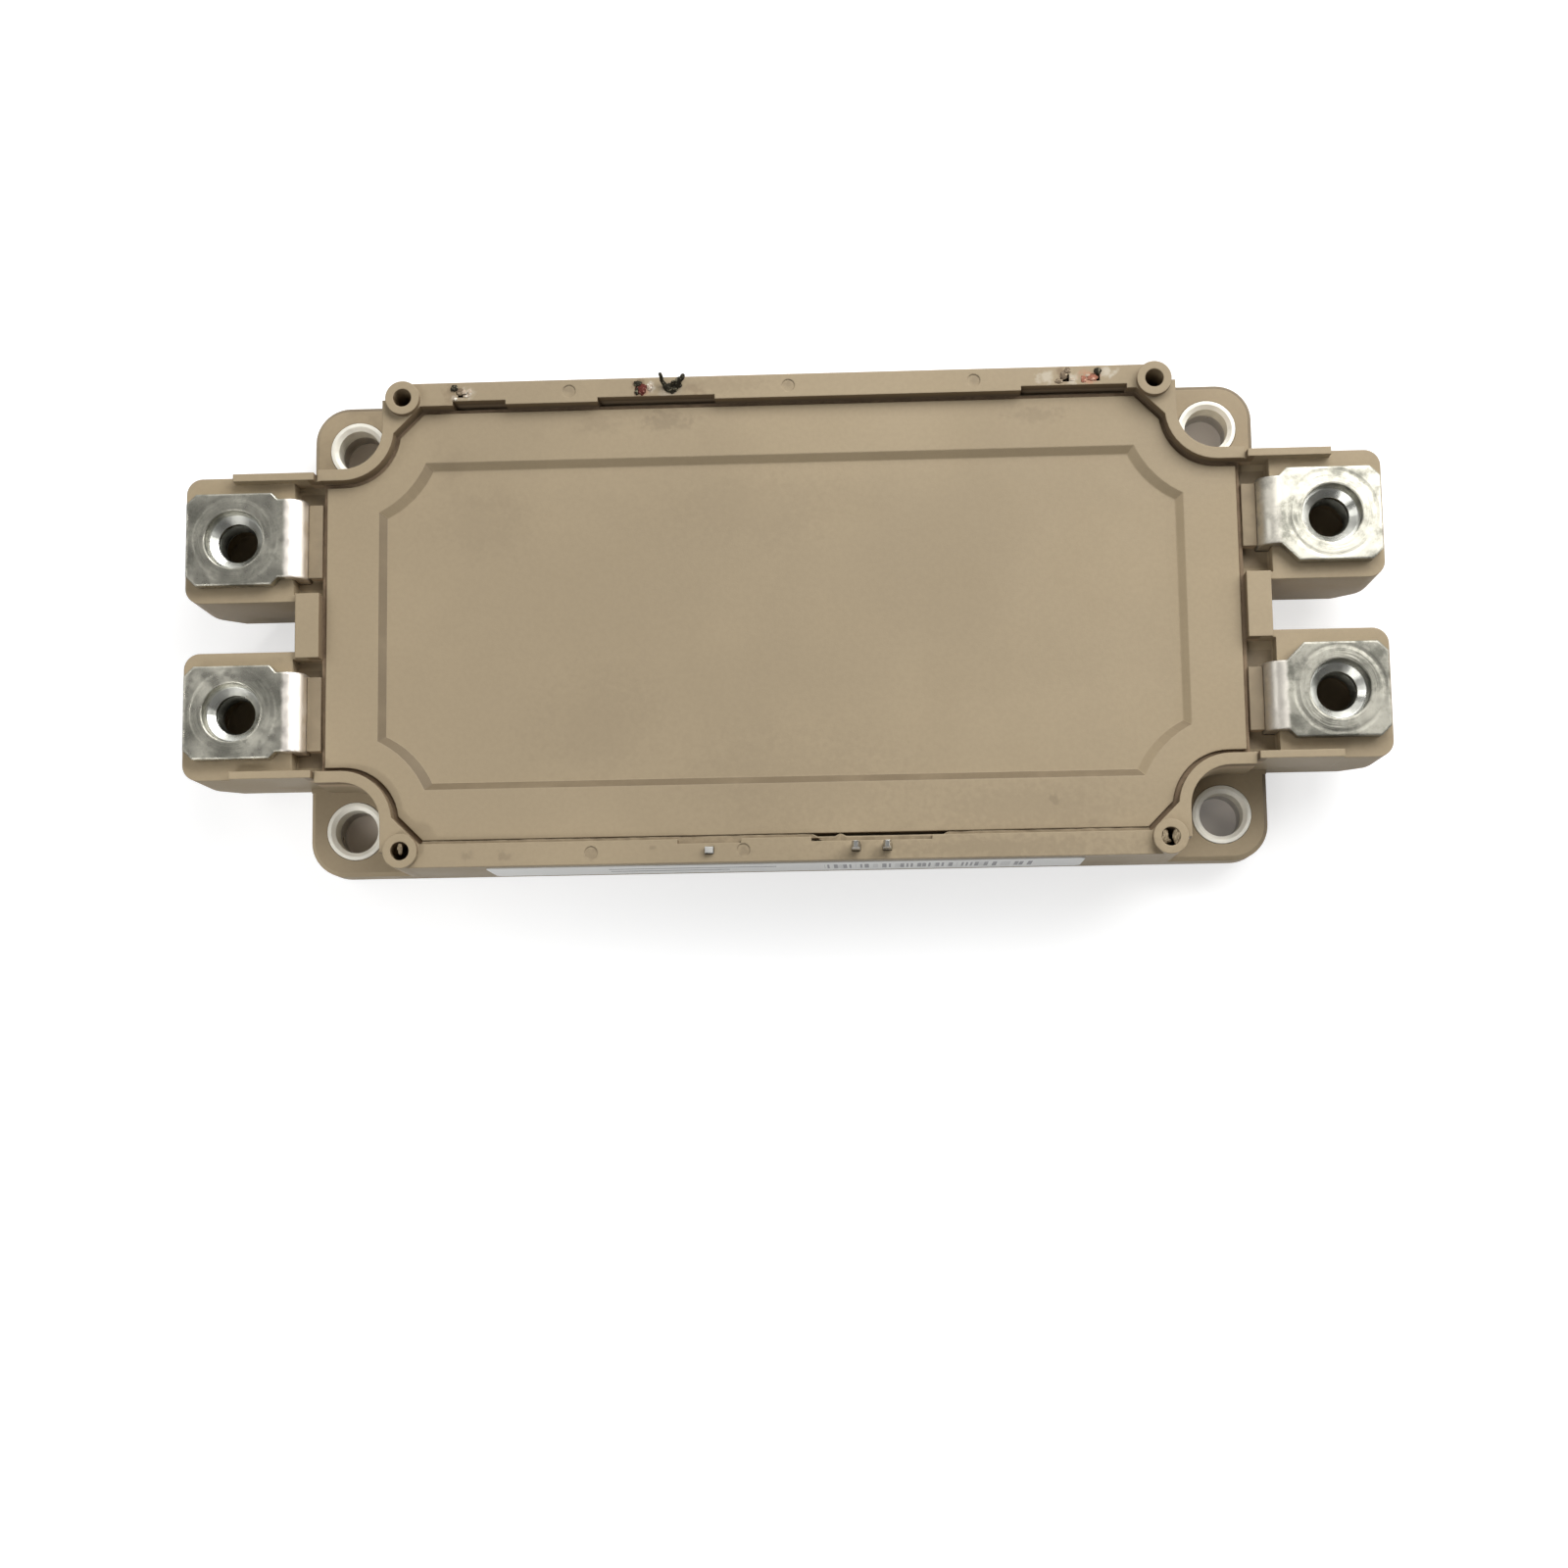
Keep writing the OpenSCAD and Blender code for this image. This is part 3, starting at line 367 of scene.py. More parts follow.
def neck_stain_and_shade(tree):
    """Darker plastic beside the necks of the terminals: grime, and painted shade where a terminal's bend
    shades the strip.
    """
    x, y, _ = (math_node(tree, "ABSOLUTE", value) for value in split(tree))
    strip = math_node(tree, "MULTIPLY", between(tree, x, 57.6 * MM, 61.0 * MM),
                      between(tree, y, 5.2 * MM, 17.6 * MM))
    patch = ranged(tree, noise_value(tree, 300, 3), 0.3, 0.65, 0.35, 0.75)
    return math_node(tree, "MULTIPLY", strip, patch)


def spots(tree):
    """A few small dark specks."""
    cells = add(tree, "ShaderNodeTexVoronoi", {"Vector": place(tree), "Scale": 62.0})
    number = add(tree, "ShaderNodeSeparateColor", {0: cells.outputs["Color"]}).outputs[0]
    chosen = ranged(tree, number, 0.8, 0.86)
    dot = ranged(tree, cells.outputs["Distance"], 0.012, 0.03, 0.5, 0.0)
    return math_node(tree, "MULTIPLY", dot, chosen)


# stains round the broken rear pins, by colour: pin, place from the pin, reach along X and Y, strength
BURNS = {
    (0.60, 0.55, 0.46): (
        (1, (0.5, 0.1), (1.1, 0.9), 0.45), (1, (-0.9, -0.6), (0.6, 0.5), 0.5),
        (2, (1.15, 0.3), (0.8, 1.0), 0.7), (3, (0.0, -0.2), (1.7, 1.2), 0.35),
        (4, (-2.3, 0.2), (1.4, 1.1), 0.45), (4, (1.0, -0.2), (0.9, 1.1), 0.45),
        (5, (1.5, 0.7), (1.3, 0.8), 0.55),
    ),
    (0.16, 0.10, 0.055): (
        (1, (-1.3, 0.0), (1.3, 1.6), 0.3), (2, (0.0, 0.1), (1.3, 1.4), 0.7),
        (3, (0.1, 0.2), (1.3, 1.0), 0.6), (3, (3.0, -0.2), (1.6, 1.0), 0.25),
        (4, (-0.35, 0.3), (0.9, 1.3), 0.6), (5, (0.2, 0.9), (0.8, 0.7), 0.6),
    ),
    (0.46, 0.20, 0.12): (
        (5, (-0.9, 0.0), (1.5, 1.0), 0.6), (2, (0.7, -0.2), (0.6, 0.8), 0.4),
    ),
}
# older stains on the lid, and painted shade: the broad faint patches over the front of the lid and along
# the front wall's top stand for less light there; each: place, reach along X and Y, strength
LID_STAINS_AND_SHADE = (
    ((-14.0, 25.6), (4.0, 1.7), 0.4), ((-22.5, 25.4), (3.0, 1.5), 0.22),
    ((32.5, 25.2), (4.5, 1.3), 0.3), ((33.4, -23.6), (0.9, 0.9), 0.5),
    ((38.0, -26.6), (0.7, 0.7), 0.3), ((-16.0, -28.9), (0.5, 0.4), 0.5),
    ((-23.0, -13.0), (11.0, 8.0), 0.12), ((-38.0, 13.0), (9.0, 5.0), 0.14),
    ((4.0, -21.0), (16.0, 7.0), 0.14), ((-4.0, 14.0), (14.0, 6.0), 0.12),
    ((30.0, -24.5), (16.0, 4.0), 0.18), ((26.0, -29.6), (26.0, 1.8), 0.3),
    ((-8.0, 29.6), (9.0, 1.6), 0.2), ((0.0, -20.0), (16.0, 8.0), 0.12),
)
# round marks left by the mould on the walls: place along X, and the side along Y
PRESS_MARKS = ((-26.2, 1), (1.5, 1), (24.8, 1), (-23.7, -1), (-4.9, -1), (-39.0, -1), (-34.5, -1))


def colour_patches(tree, patches, above):
    """Where patches of one colour lie, with ragged edges, on the faces above a height: stains, and on the
    lid also painted shade.
    """
    total = None
    ragged = ranged(tree, noise_value(tree, 1300, 4), 0.25, 0.75, -0.45, 0.45)
    for centre, (dx, dy), (wide, deep), strength in patches:
        point = stretched(tree, (1 / (wide * MM), 1 / (deep * MM), 0))
        middle = ((centre.x + dx) / wide, (centre.y + dy) / deep, 0)
        away = add(
            tree, "ShaderNodeVectorMath", {0: point, 1: middle}, operation="DISTANCE"
        ).outputs["Value"]
        spot = ranged(tree, math_node(tree, "ADD", away, ragged), 0.2, 1.1, strength, 0.0)
        total = spot if total is None else math_node(tree, "MAXIMUM", total, spot)
    high = ranged(tree, split(tree)[2], above - 0.1 * MM, above)
    return math_node(tree, "MULTIPLY", total, high)


def split(tree):
    """Object coordinates along X, Y and Z, each by itself."""
    parts = add(tree, "ShaderNodeSeparateXYZ", {0: place(tree)}).outputs
    return parts[0], parts[1], parts[2]


SCRATCH = 0.0015 * MM  # depth of the fine scratches in plating


def plated_material(name, base, dark, roughness, edge):
    """Bright plating with cloudy patches and fine scratches."""
    material, tree, shader = new_material(name)
    cloud = ranged(tree, noise_value(tree, 240, 4, roughness=0.6), 0.38, 0.66)
    tree.links.new(mixed(tree, cloud, rgba(base), rgba(dark)), shader.inputs["Base Color"])
    shader.inputs["Metallic"].default_value = 1.0
    worn = ranged(tree, noise_value(tree, 420, 3), 0.3, 0.7, roughness - 0.07, roughness + 0.08)
    tree.links.new(worn, shader.inputs["Roughness"])
    lines = noise_value(tree, 1, 2, stretched(tree, (900, 7000, 900)))
    tree.links.new(
        bumped(tree, lines, SCRATCH, rounded(tree, edge)), shader.inputs["Normal"]
    )
    return material, tree, shader


def flatter_cone(tree, shader, centre, amount):
    """Makes the worn cone at the mouth of a bore look flatter and rounder than it was cut."""
    away = distance_to(tree, centre, True)[0]
    z = facing(tree)[2]
    cone = math_node(tree, "MULTIPLY", ranged(tree, z, 0.5, 0.6), ranged(tree, z, 0.8, 0.9, 1.0, 0.0))
    dished = math_node(tree, "MULTIPLY", math_node(tree, "MULTIPLY", away, -amount), cone)
    tree.links.new(bumped(tree, dished, 1.0, rounded(tree, 0.12 * MM)), shader.inputs["Normal"])


def terminal_material(name, shade_level, roughness, bend_highlight):
    """Plated copper sheet of one terminal, scuffed in rings round its screw hole."""
    look = bpy.context.scene.module_metal
    material, tree, shader = new_material(name)
    away, offset = distance_to(tree, (TERMINAL_X, TERMINAL_Y), True)
    parts = add(tree, "ShaderNodeSeparateXYZ", {0: offset}).outputs
    angle = math_node(tree, "ARCTAN2", parts[1], parts[0])
    polar = add(
        tree, "ShaderNodeCombineXYZ",
        {0: math_node(tree, "MULTIPLY", away, 5200.0), 1: math_node(tree, "MULTIPLY", angle, 1.6)},
    ).outputs["Vector"]
    scuff = ranged(tree, noise_value(tree, 1.0, 3, polar), 0.35, 0.7)
    near = ranged(tree, away, 4.6 * MM, 6.2 * MM, 1.0, 0.15)
    cloud = ranged(tree, noise_value(tree, 260, 5, roughness=0.65), 0.4, 0.65)
    # a lower level gives a darker copy of the plating: painted shade
    plain, smear = (tuple(channel * shade_level for channel in tint) for tint in (look.terminal, look.smear))
    tint = mixed(tree, cloud, rgba(plain), rgba(smear))
    tint = mixed(
        tree, math_node(tree, "MULTIPLY", math_node(tree, "MULTIPLY", scuff, near), 0.35),
        tint, rgba(tuple(channel * 1.15 for channel in plain)),
    )
    # the bend of the neck is painted brighter: a painted highlight where the bend catches the light
    wander = math_node(tree, "MULTIPLY", noise_value(tree, 700, 3), 0.6 * MM)
    along = math_node(tree, "SUBTRACT", math_node(tree, "ABSOLUTE", split(tree)[0]), wander)
    bend = ranged(tree, along, 61.5 * MM, 62.1 * MM, 1.0, 0.0)
    tint = mixed(tree, math_node(tree, "MULTIPLY", bend, bend_highlight), tint, (0.93, 0.87, 0.79, 1))
    tree.links.new(tint, shader.inputs["Base Color"])
    shader.inputs["Metallic"].default_value = 1.0
    patch = ranged(tree, noise_value(tree, 520, 4), 0.3, 0.7, roughness - 0.08, roughness + 0.1)
    tree.links.new(math_node(tree, "ADD", patch, math_node(tree, "MULTIPLY", bend, 0.10)),
                   shader.inputs["Roughness"])
    # the ring that a washer pressed in, and the rolling marks of the sheet
    off_ring = math_node(tree, "ABSOLUTE", math_node(tree, "SUBTRACT", away, look.imprint_r))
    ring = ranged(tree, off_ring, 0.0, look.imprint_w, 0.0, 1.0)
    waves = noise_value(tree, 420, 3)
    lines = math_node(tree, "MULTIPLY", math_node(tree, "MULTIPLY", scuff, near), 0.25)
    height = math_node(tree, "ADD", math_node(tree, "ADD", ring, lines),
                       math_node(tree, "MULTIPLY", waves, 0.7))
    tree.links.new(
        bumped(tree, height, 0.024 * MM, rounded(tree, 0.4 * MM)), shader.inputs["Normal"]
    )
    return material


def layer_material(name, base, roughness, metallic, scale):
    """A plain layer or chip, with a slight mottle of its own."""
    material, tree, shader = new_material(name)
    dark = tuple(channel * 0.8 for channel in base)
    mottle = ranged(tree, noise_value(tree, scale, 3), 0.3, 0.7)
    tree.links.new(mixed(tree, mottle, rgba(base), rgba(dark)), shader.inputs["Base Color"])
    shader.inputs["Metallic"].default_value = metallic
    gloss = ranged(tree, noise_value(tree, scale * 2, 2), 0.3, 0.7, roughness - 0.05, roughness + 0.05)
    tree.links.new(gloss, shader.inputs["Roughness"])
    tree.links.new(
        bumped(tree, noise_value(tree, scale * 5, 2), 0.006 * MM), shader.inputs["Normal"]
    )
    return material


def label_material():
    """White film with a generic print: a block of bars and two plain fields."""
    look = bpy.context.scene.module_label
    low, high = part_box("side_label")
    middle = (low.z + high.z) / 2
    material, tree, shader = new_material("label_film")
    x, _, z = split(tree)
    bars = noise_value(tree, 1.0, 0, stretched(tree, (1 / look.bar, 0, 0)))
    bars = ranged(tree, bars, 0.49, 0.52)
    inside = between(tree, x, low.x + 42 * MM, high.x - 6 * MM)
    inside = math_node(tree, "MULTIPLY", inside, between(tree, z, middle - 2.6 * MM, middle + 2.2 * MM))
    field = math_node(tree, "MULTIPLY", between(tree, x, low.x + 15 * MM, low.x + 36 * MM),
                      between(tree, z, middle + 0.9 * MM, middle + 1.7 * MM))
    field2 = math_node(tree, "MULTIPLY", between(tree, x, low.x + 15 * MM, low.x + 30 * MM),
                       between(tree, z, middle - 1.8 * MM, middle - 1.0 * MM))
    ink = math_node(tree, "MAXIMUM", math_node(tree, "MULTIPLY", bars, inside),
                    math_node(tree, "MAXIMUM", field, field2))
    faded = ranged(tree, noise_value(tree, 500, 3), 0.2, 0.5, 0.75, 1.0)
    tint = mixed(tree, math_node(tree, "MULTIPLY", ink, faded), rgba(look.film), rgba(look.ink))
    tree.links.new(tint, shader.inputs["Base Color"])
    shader.inputs["Roughness"].default_value = 0.38
    tree.links.new(bumped(tree, noise_value(tree, 300, 2), 0.02 * MM), shader.inputs["Normal"])
    return material


def between(tree, value, low, high):
    """1 where a value lies between two limits, else 0."""
    above = math_node(tree, "GREATER_THAN", value, low)
    below = math_node(tree, "LESS_THAN", value, high)
    return math_node(tree, "MULTIPLY", above, below)


def scorched_material(name, base, tip):
    """Burnt and broken metal: dark, with a little bright metal left."""
    material, tree, shader = new_material(name)
    bright = ranged(tree, noise_value(tree, 2600, 4), 0.52, 0.66)
    tree.links.new(mixed(tree, bright, rgba(base), rgba(tip)), shader.inputs["Base Color"])
    tree.links.new(ranged(tree, bright, 0.0, 1.0, 0.0, 0.3), shader.inputs["Metallic"])
    tree.links.new(ranged(tree, bright, 0.0, 1.0, 0.85, 0.45), shader.inputs["Roughness"])
    shader.inputs["Specular IOR Level"].default_value = 0.25
    tree.links.new(bumped(tree, noise_value(tree, 3500, 3), 0.03 * MM), shader.inputs["Normal"])
    return material


def paint(material, *nodes):
    """Gives CAD nodes a material of their own."""
    for name in nodes:
        slots = frame["nodes"][name].material_slots
        for slot in slots:
            slot.material = material


def nodes_like(start):
    """The names of the CAD nodes that start with a word."""
    return sorted(name for name in frame["nodes"] if name.startswith(start))


# ---- pieces ----


def finished(mesh, name, material, replaced=()):
    """Turns a bmesh into a piece of the module that rides on its body."""
    data = bpy.data.meshes.new(name)
    mesh.to_mesh(data)
    mesh.free()
    data.materials.append(material)
    piece = bpy.data.objects.new(name, data)
    bpy.context.scene.collection.objects.link(piece)
    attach(piece, "root")
    if replaced:
        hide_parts(*replaced)
    return piece


def close_ends(mesh, sides):
    """Closes the open ends of swept shapes, each with at most this many sides."""
    bmesh.ops.holes_fill(mesh, edges=[edge for edge in mesh.edges if edge.is_boundary], sides=sides)


def thread_ridge(mesh, centre, radius, low, high):
    """One helical ridge inside a bore."""
    look = bpy.context.scene.module_thread
    turns = int((high - low) / look.pitch)
    start = Vector((centre[0] + radius, centre[1], low))
    half = look.pitch * 0.42
    profile = [mesh.verts.new(start + Vector(offset)) for offset in
               ((0, 0, -half), (-look.depth, 0, 0), (0, 0, half))]
    edges = [mesh.edges.new(pair) for pair in zip(profile, profile[1:] + profile[:1])]
    steps = look.steps * turns
    bmesh.ops.spin(
        mesh, geom=profile + edges, cent=(*centre, 0), axis=(0, 0, 1), dvec=(0, 0, look.pitch / look.steps),
        angle=math.tau * turns, steps=steps, use_duplicate=False,
    )


def pin_centre(index):
    """Where a rear pin leaves the top of the wall."""
    low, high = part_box(f"control_pin_rear_{index}")
    return Vector(((low.x + high.x) / 2, high.y - 0.4 * MM, WALL_TOP))


def lump(mesh, centre, spot, size, seed):
    """A rough lump of torn metal or solder that sits on the wall."""
    made = bmesh.ops.create_icosphere(mesh, subdivisions=4, radius=MM)["verts"]
    shift = Vector((seed * 3.1, seed * 1.7, seed * 0.9))
    for vert in made:
        way = vert.co.normalized()
        rough = 0.34 * noise.noise(way * 2.3 + shift) + 0.22 * noise.noise(way * 6 + shift)
        vert.co = way * MM * (1 + rough)
    bmesh.ops.scale(mesh, verts=made, vec=size)
    bmesh.ops.translate(mesh, verts=made, vec=centre + Vector((spot[0], spot[1], 0)) * MM)


def prong(mesh, centre, points, thick, seed):
    """A charred strand that tapers along its points."""
    rng = random.Random(seed)
    ring = bmesh.ops.create_circle(mesh, segments=9, radius=thick * MM, cap_ends=True)["verts"]
    bmesh.ops.translate(mesh, verts=ring, vec=centre + Vector(points[0]) * MM)
    face = next(face for face in mesh.faces if all(vert in ring for vert in face.verts))
    for start, end in zip(points, points[1:]):
        for _ in range(4):
            face = bmesh.ops.extrude_discrete_faces(mesh, faces=[face])["faces"][0]
            bend = Vector((rng.uniform(-0.08, 0.08), rng.uniform(-0.08, 0.08), 0))
            bmesh.ops.translate(mesh, verts=face.verts, vec=((Vector(end) - Vector(start)) / 4 + bend) * MM)
            middle = face.calc_center_median()
            width = rng.uniform(0.8, 1.06)
            bmesh.ops.scale(
                mesh, verts=face.verts, vec=(width, width, 1), space=Matrix.Translation(-middle)
            )


# ---- operators ----


class MODULE_OT_case(bpy.types.Operator):
    """Finish the case and the lid"""

    bl_idname = "module.case"
    bl_label = "Case and lid"

    def execute(self, context):
        paint(plastic_material(), "case_frame", "lid")
        return {"FINISHED"}


# how bright each terminal's copy of the plating is drawn, the darker copies being painted shade, how rough
# it has become, and how strong the painted highlight on its bend is
PLATINGS = {
    "busbar_plus": (0.80, 0.34, 0.95),
    "busbar_minus": (1.0, 0.32, 0.95),
    "busbar_phase_rear": (0.80, 0.4, 0.25),
    "busbar_phase_front": (0.54, 0.4, 0.5),
}


def lid_outline():
    """The upper outer edges of the lid: each corner with its way out of the lid, and the edges' ends."""
    lid = frame["nodes"]["lid"]
    mesh = bmesh.new()
    mesh.from_mesh(lid.data)
    bmesh.ops.transform(mesh, matrix=lid.matrix_world, verts=mesh.verts)
    bmesh.ops.remove_doubles(mesh, verts=mesh.verts, dist=0.001 * MM)
    mesh.normal_update()
    top = max(vert.co.z for vert in mesh.verts)
    ways, sides = {}, []
    for edge in mesh.edges:
        if len(edge.link_faces) != 2 or min(vert.co.z for vert in edge.verts) < top - 0.01 * MM:
            continue
        side, flat = sorted(edge.link_faces, key=lambda face: face.normal.z)
        if side.normal.z > 0.1 or flat.normal.z < 0.9:
            continue
        ends = tuple(vert.co.copy().freeze() for vert in edge.verts)
        sides.append(ends)
        for end in ends:
            ways.setdefault(end, []).append(side.normal.copy())
    mesh.free()
    outward = {}
    for end, normals in ways.items():
        middle = sum(normals, Vector()).normalized()
        outward[end] = middle / max(0.5, middle.dot(normals[0]))
    return sides, outward


# along the front, in millimetres: where the dust leaves a thin slot open, where the slot is broken,
# and the reliefs of the pins that the dust fills
SLOT = (4.0, 20.0)
SLOT_BREAK = (6.6, 7.6)
FILLED_RELIEFS = ((-12.9, -5.3), (4.7, 19.3))


def lies_in(value, stretch):
    """Whether a value lies inside a stretch."""
    return stretch[0] < value < stretch[1]


def dust_section(look, spot, at_front):
    """How far the dust starts and ends from the lid's edge at a spot."""
    x = spot.x / MM
    slot = at_front and lies_in(x, SLOT) and not lies_in(x, SLOT_BREAK)
    filled = at_front and any(lies_in(x, relief) for relief in FILLED_RELIEFS)
    return (0.42 if slot else 0.03) * MM, look.width + (0.56 if filled else 0.06) * MM


class MODULE_OT_packed_dust(bpy.types.Operator):
    """Pack dust in the gap between the lid and the walls"""

    bl_idname = "module.packed_dust"
    bl_label = "Packed dust"

    def execute(self, context):
        look = context.scene.module_dust
        sides, outward = lid_outline()
        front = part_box("lid")[0].y + 0.5 * MM
        for name, tint, below, ahead in (
            ("packed_dust_front", look.tint, look.below, True),
            # painted shade: the dust round the rear and sides is given a darker colour than the front dust,
            # for the shade of the deeper gap there
            ("packed_dust_round", look.dark, look.deep, False),
        ):
            mesh = bmesh.new()
            for ends in sides:
                first, last = ends
                at_front = max(first.y, last.y) < front
                if at_front != ahead:
                    continue
                steps = max(1, int((last - first).length / (0.7 * MM)))
                rows = []
                for step in range(steps + 1):
                    share = step / steps
                    spot = first.lerp(last, share)
                    way = outward[first].lerp(outward[last], share)
                    if 0 < step < steps:
                        way = way.normalized()
                    near, far = dust_section(look, spot, at_front)
                    rise = 0.12 * MM * noise.noise(spot * 900)
                    rows.append([
                        mesh.verts.new(spot + way * wide + Vector((0, 0, rise - deep))) for wide, deep in (
                            (near, below + 0.1 * MM), (near + 0.15 * MM, below), (far, below + 0.1 * MM),
                            (far, below + 0.7 * MM), (near, below + 0.7 * MM),
                        )
                    ])
                for one, two in zip(rows, rows[1:]):
                    for index in range(5):
                        mesh.faces.new((one[index], one[index - 1], two[index - 1], two[index]))
            bmesh.ops.remove_doubles(mesh, verts=mesh.verts, dist=0.002 * MM)
            close_ends(mesh, 5)
            bmesh.ops.recalc_face_normals(mesh, faces=mesh.faces)
            finished(mesh, name, layer_material(name, tint, 0.9, 0.0, 900))
        return {"FINISHED"}


class MODULE_OT_post_chips(bpy.types.Operator):
    """Leave chips of plastic in the two front board posts"""

    bl_idname = "module.post_chips"
    bl_label = "Post chips"

    def execute(self, context):
        plastic = frame["nodes"]["case_frame"].material_slots[0].material
        mesh = bmesh.new()
        left, right = (Vector((end * POST_X, -POST_Y, POST_TOP - 0.5 * MM)) for end in (-1, 1))
        for centre, spot, size in (
            (left, (0.0, 0.5), (0.3, 0.62, 0.35)), (left, (0.05, -0.1), (0.22, 0.3, 0.3)),
            (right, (-0.78, 0.0), (0.5, 1.0, 0.45)), (right, (0.8, 0.1), (0.5, 1.0, 0.45)),
            (right, (-0.3, -0.5), (0.3, 0.2, 0.4)),
        ):
            lump(mesh, centre, spot, size, 2.3)
        bmesh.ops.recalc_face_normals(mesh, faces=mesh.faces)
        finished(mesh, "post_chips", plastic)
        return {"FINISHED"}


class MODULE_OT_metal(bpy.types.Operator):
    """Finish the terminals, nuts, bushes, whole pins and base plate"""

    bl_idname = "module.metal"
    bl_label = "Metal parts"

    def execute(self, context):
        look = context.scene.module_metal
        for name, (shade_level, roughness, bend_highlight) in PLATINGS.items():
            plating = terminal_material(name.replace("busbar", "plating"), shade_level, roughness, bend_highlight)
            paint(plating, name)
        grey = tuple(channel * 0.75 for channel in look.nut)
        nut, tree, shader = plated_material("nut_plating", look.nut, grey, 0.3, 0.12 * MM)
        flatter_cone(tree, shader, (TERMINAL_X, TERMINAL_Y), 0.32)
        paint(nut, "terminal_nuts")
        grey = tuple(channel * 0.85 for channel in look.bush)
        bush, tree, shader = plated_material("bush_plating", look.bush, grey, 0.5, 0.12 * MM)
        flatter_cone(tree, shader, (HOLE_X, HOLE_Y), 0.4)
        shader.inputs["Metallic"].default_value = 0.3
        paint(bush, "mounting_bushes")
        grey = tuple(channel * 0.82 for channel in look.plate)
        paint(plated_material("base_nickel", look.plate, grey, 0.34, 0.2 * MM)[0], "base_plate")
        grey = tuple(channel * 0.6 for channel in look.pin)
        paint(plated_material("pin_tin", look.pin, grey, 0.28, 0.08 * MM)[0], *nodes_like("control_pin_"))
        dull = tuple(channel * 0.45 for channel in look.pin)
        paint(plated_material("pin_stub", dull, grey, 0.55, 0.1 * MM)[0], "control_pin_front_1")
        return {"FINISHED"}


class MODULE_OT_inside(bpy.types.Operator):
    """Finish the substrates, chips, wires, gel and adhesive inside the case"""

    bl_idname = "module.inside"
    bl_label = "Inside"

    def execute(self, context):
        copper = layer_material("bare_copper", (0.60, 0.27, 0.14), 0.35, 1.0, 400)
        paint(copper, *nodes_like("substrate_back_copper"), *nodes_like("substrate_circuit"))
        solder = layer_material("solder_grey", (0.42, 0.43, 0.45), 0.4, 1.0, 600)
        paint(solder, *nodes_like("substrate_solder"))
        alumina = layer_material("alumina", (0.83, 0.82, 0.78), 0.6, 0.0, 900)
        paint(alumina, *nodes_like("substrate_ceramic"))
        silicon = layer_material("chip_metal", (0.30, 0.31, 0.34), 0.3, 0.8, 500)
        paint(silicon, *nodes_like("igbt_chip"), *nodes_like("diode_chip"))
        wire = layer_material("wire_aluminium", (0.72, 0.73, 0.74), 0.3, 1.0, 1500)
        paint(wire, *nodes_like("chip_bond_wires"), "link_bond_wires", "signal_bond_wires")
        paint(layer_material("thermistor_ceramic", (0.09, 0.10, 0.11), 0.5, 0.0, 800), "thermistor")
        paint(layer_material("silicone_bead", (0.80, 0.77, 0.70), 0.5, 0.0, 500), "case_adhesive")
        gel = layer_material("clear_gel", (0.85, 0.88, 0.90), 0.12, 0.0, 120)
        gel.node_tree.nodes["Principled BSDF"].inputs["Alpha"].default_value = 0.45
        paint(gel, "silicone_gel")
        return {"FINISHED"}


class MODULE_OT_label(bpy.types.Operator):
    """Finish the label on the front wall"""

    bl_idname = "module.label"
    bl_label = "Label"

    def execute(self, context):
        paint(label_material(), "side_label")
        return {"FINISHED"}


class MODULE_OT_threads(bpy.types.Operator):
    """Cut the thread in the four captive nuts"""

    bl_idname = "module.threads"
    bl_label = "Nut threads"

    def execute(self, context):
        look = context.scene.module_metal
        low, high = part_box("terminal_nuts")
        bore = MOUNTS["terminal_bolts"]["dims"]["hole_r_mm"] * MM
        mesh = bmesh.new()
        for end in (-1, 1):
            for side in (-1, 1):
                centre = (end * TERMINAL_X, side * TERMINAL_Y)
                thread_ridge(mesh, centre, bore, low.z + 0.5 * MM, high.z - 0.9 * MM)
        close_ends(mesh, 3)
        bmesh.ops.recalc_face_normals(mesh, faces=mesh.faces)
        # the thread gets a darker copy of the nut's plating: painted shade deep in the bore
        dull, grey = (tuple(channel * shade_level for channel in look.nut) for shade_level in (0.5, 0.3))
        plating = plated_material("thread_plating", dull, grey, 0.35, 0.05 * MM)[0]
        finished(mesh, "nut_threads", plating)
        return {"FINISHED"}


# torn metal by kind: its material's name, its colour, and the colour of its bright spots
KINDS = {
    "char": ("charred_metal", (0.026, 0.022, 0.013), (0.22, 0.20, 0.13)),
    "rust": ("red_burnt_metal", (0.10, 0.02, 0.014), (0.42, 0.20, 0.15)),
    "pale": ("pale_solder", (0.45, 0.36, 0.27), (0.80, 0.76, 0.66)),
    "smear": ("brown_smear", (0.17, 0.125, 0.082), (0.36, 0.29, 0.20)),
    "red": ("copper_red", (0.30, 0.12, 0.075), (0.50, 0.30, 0.22)),
}
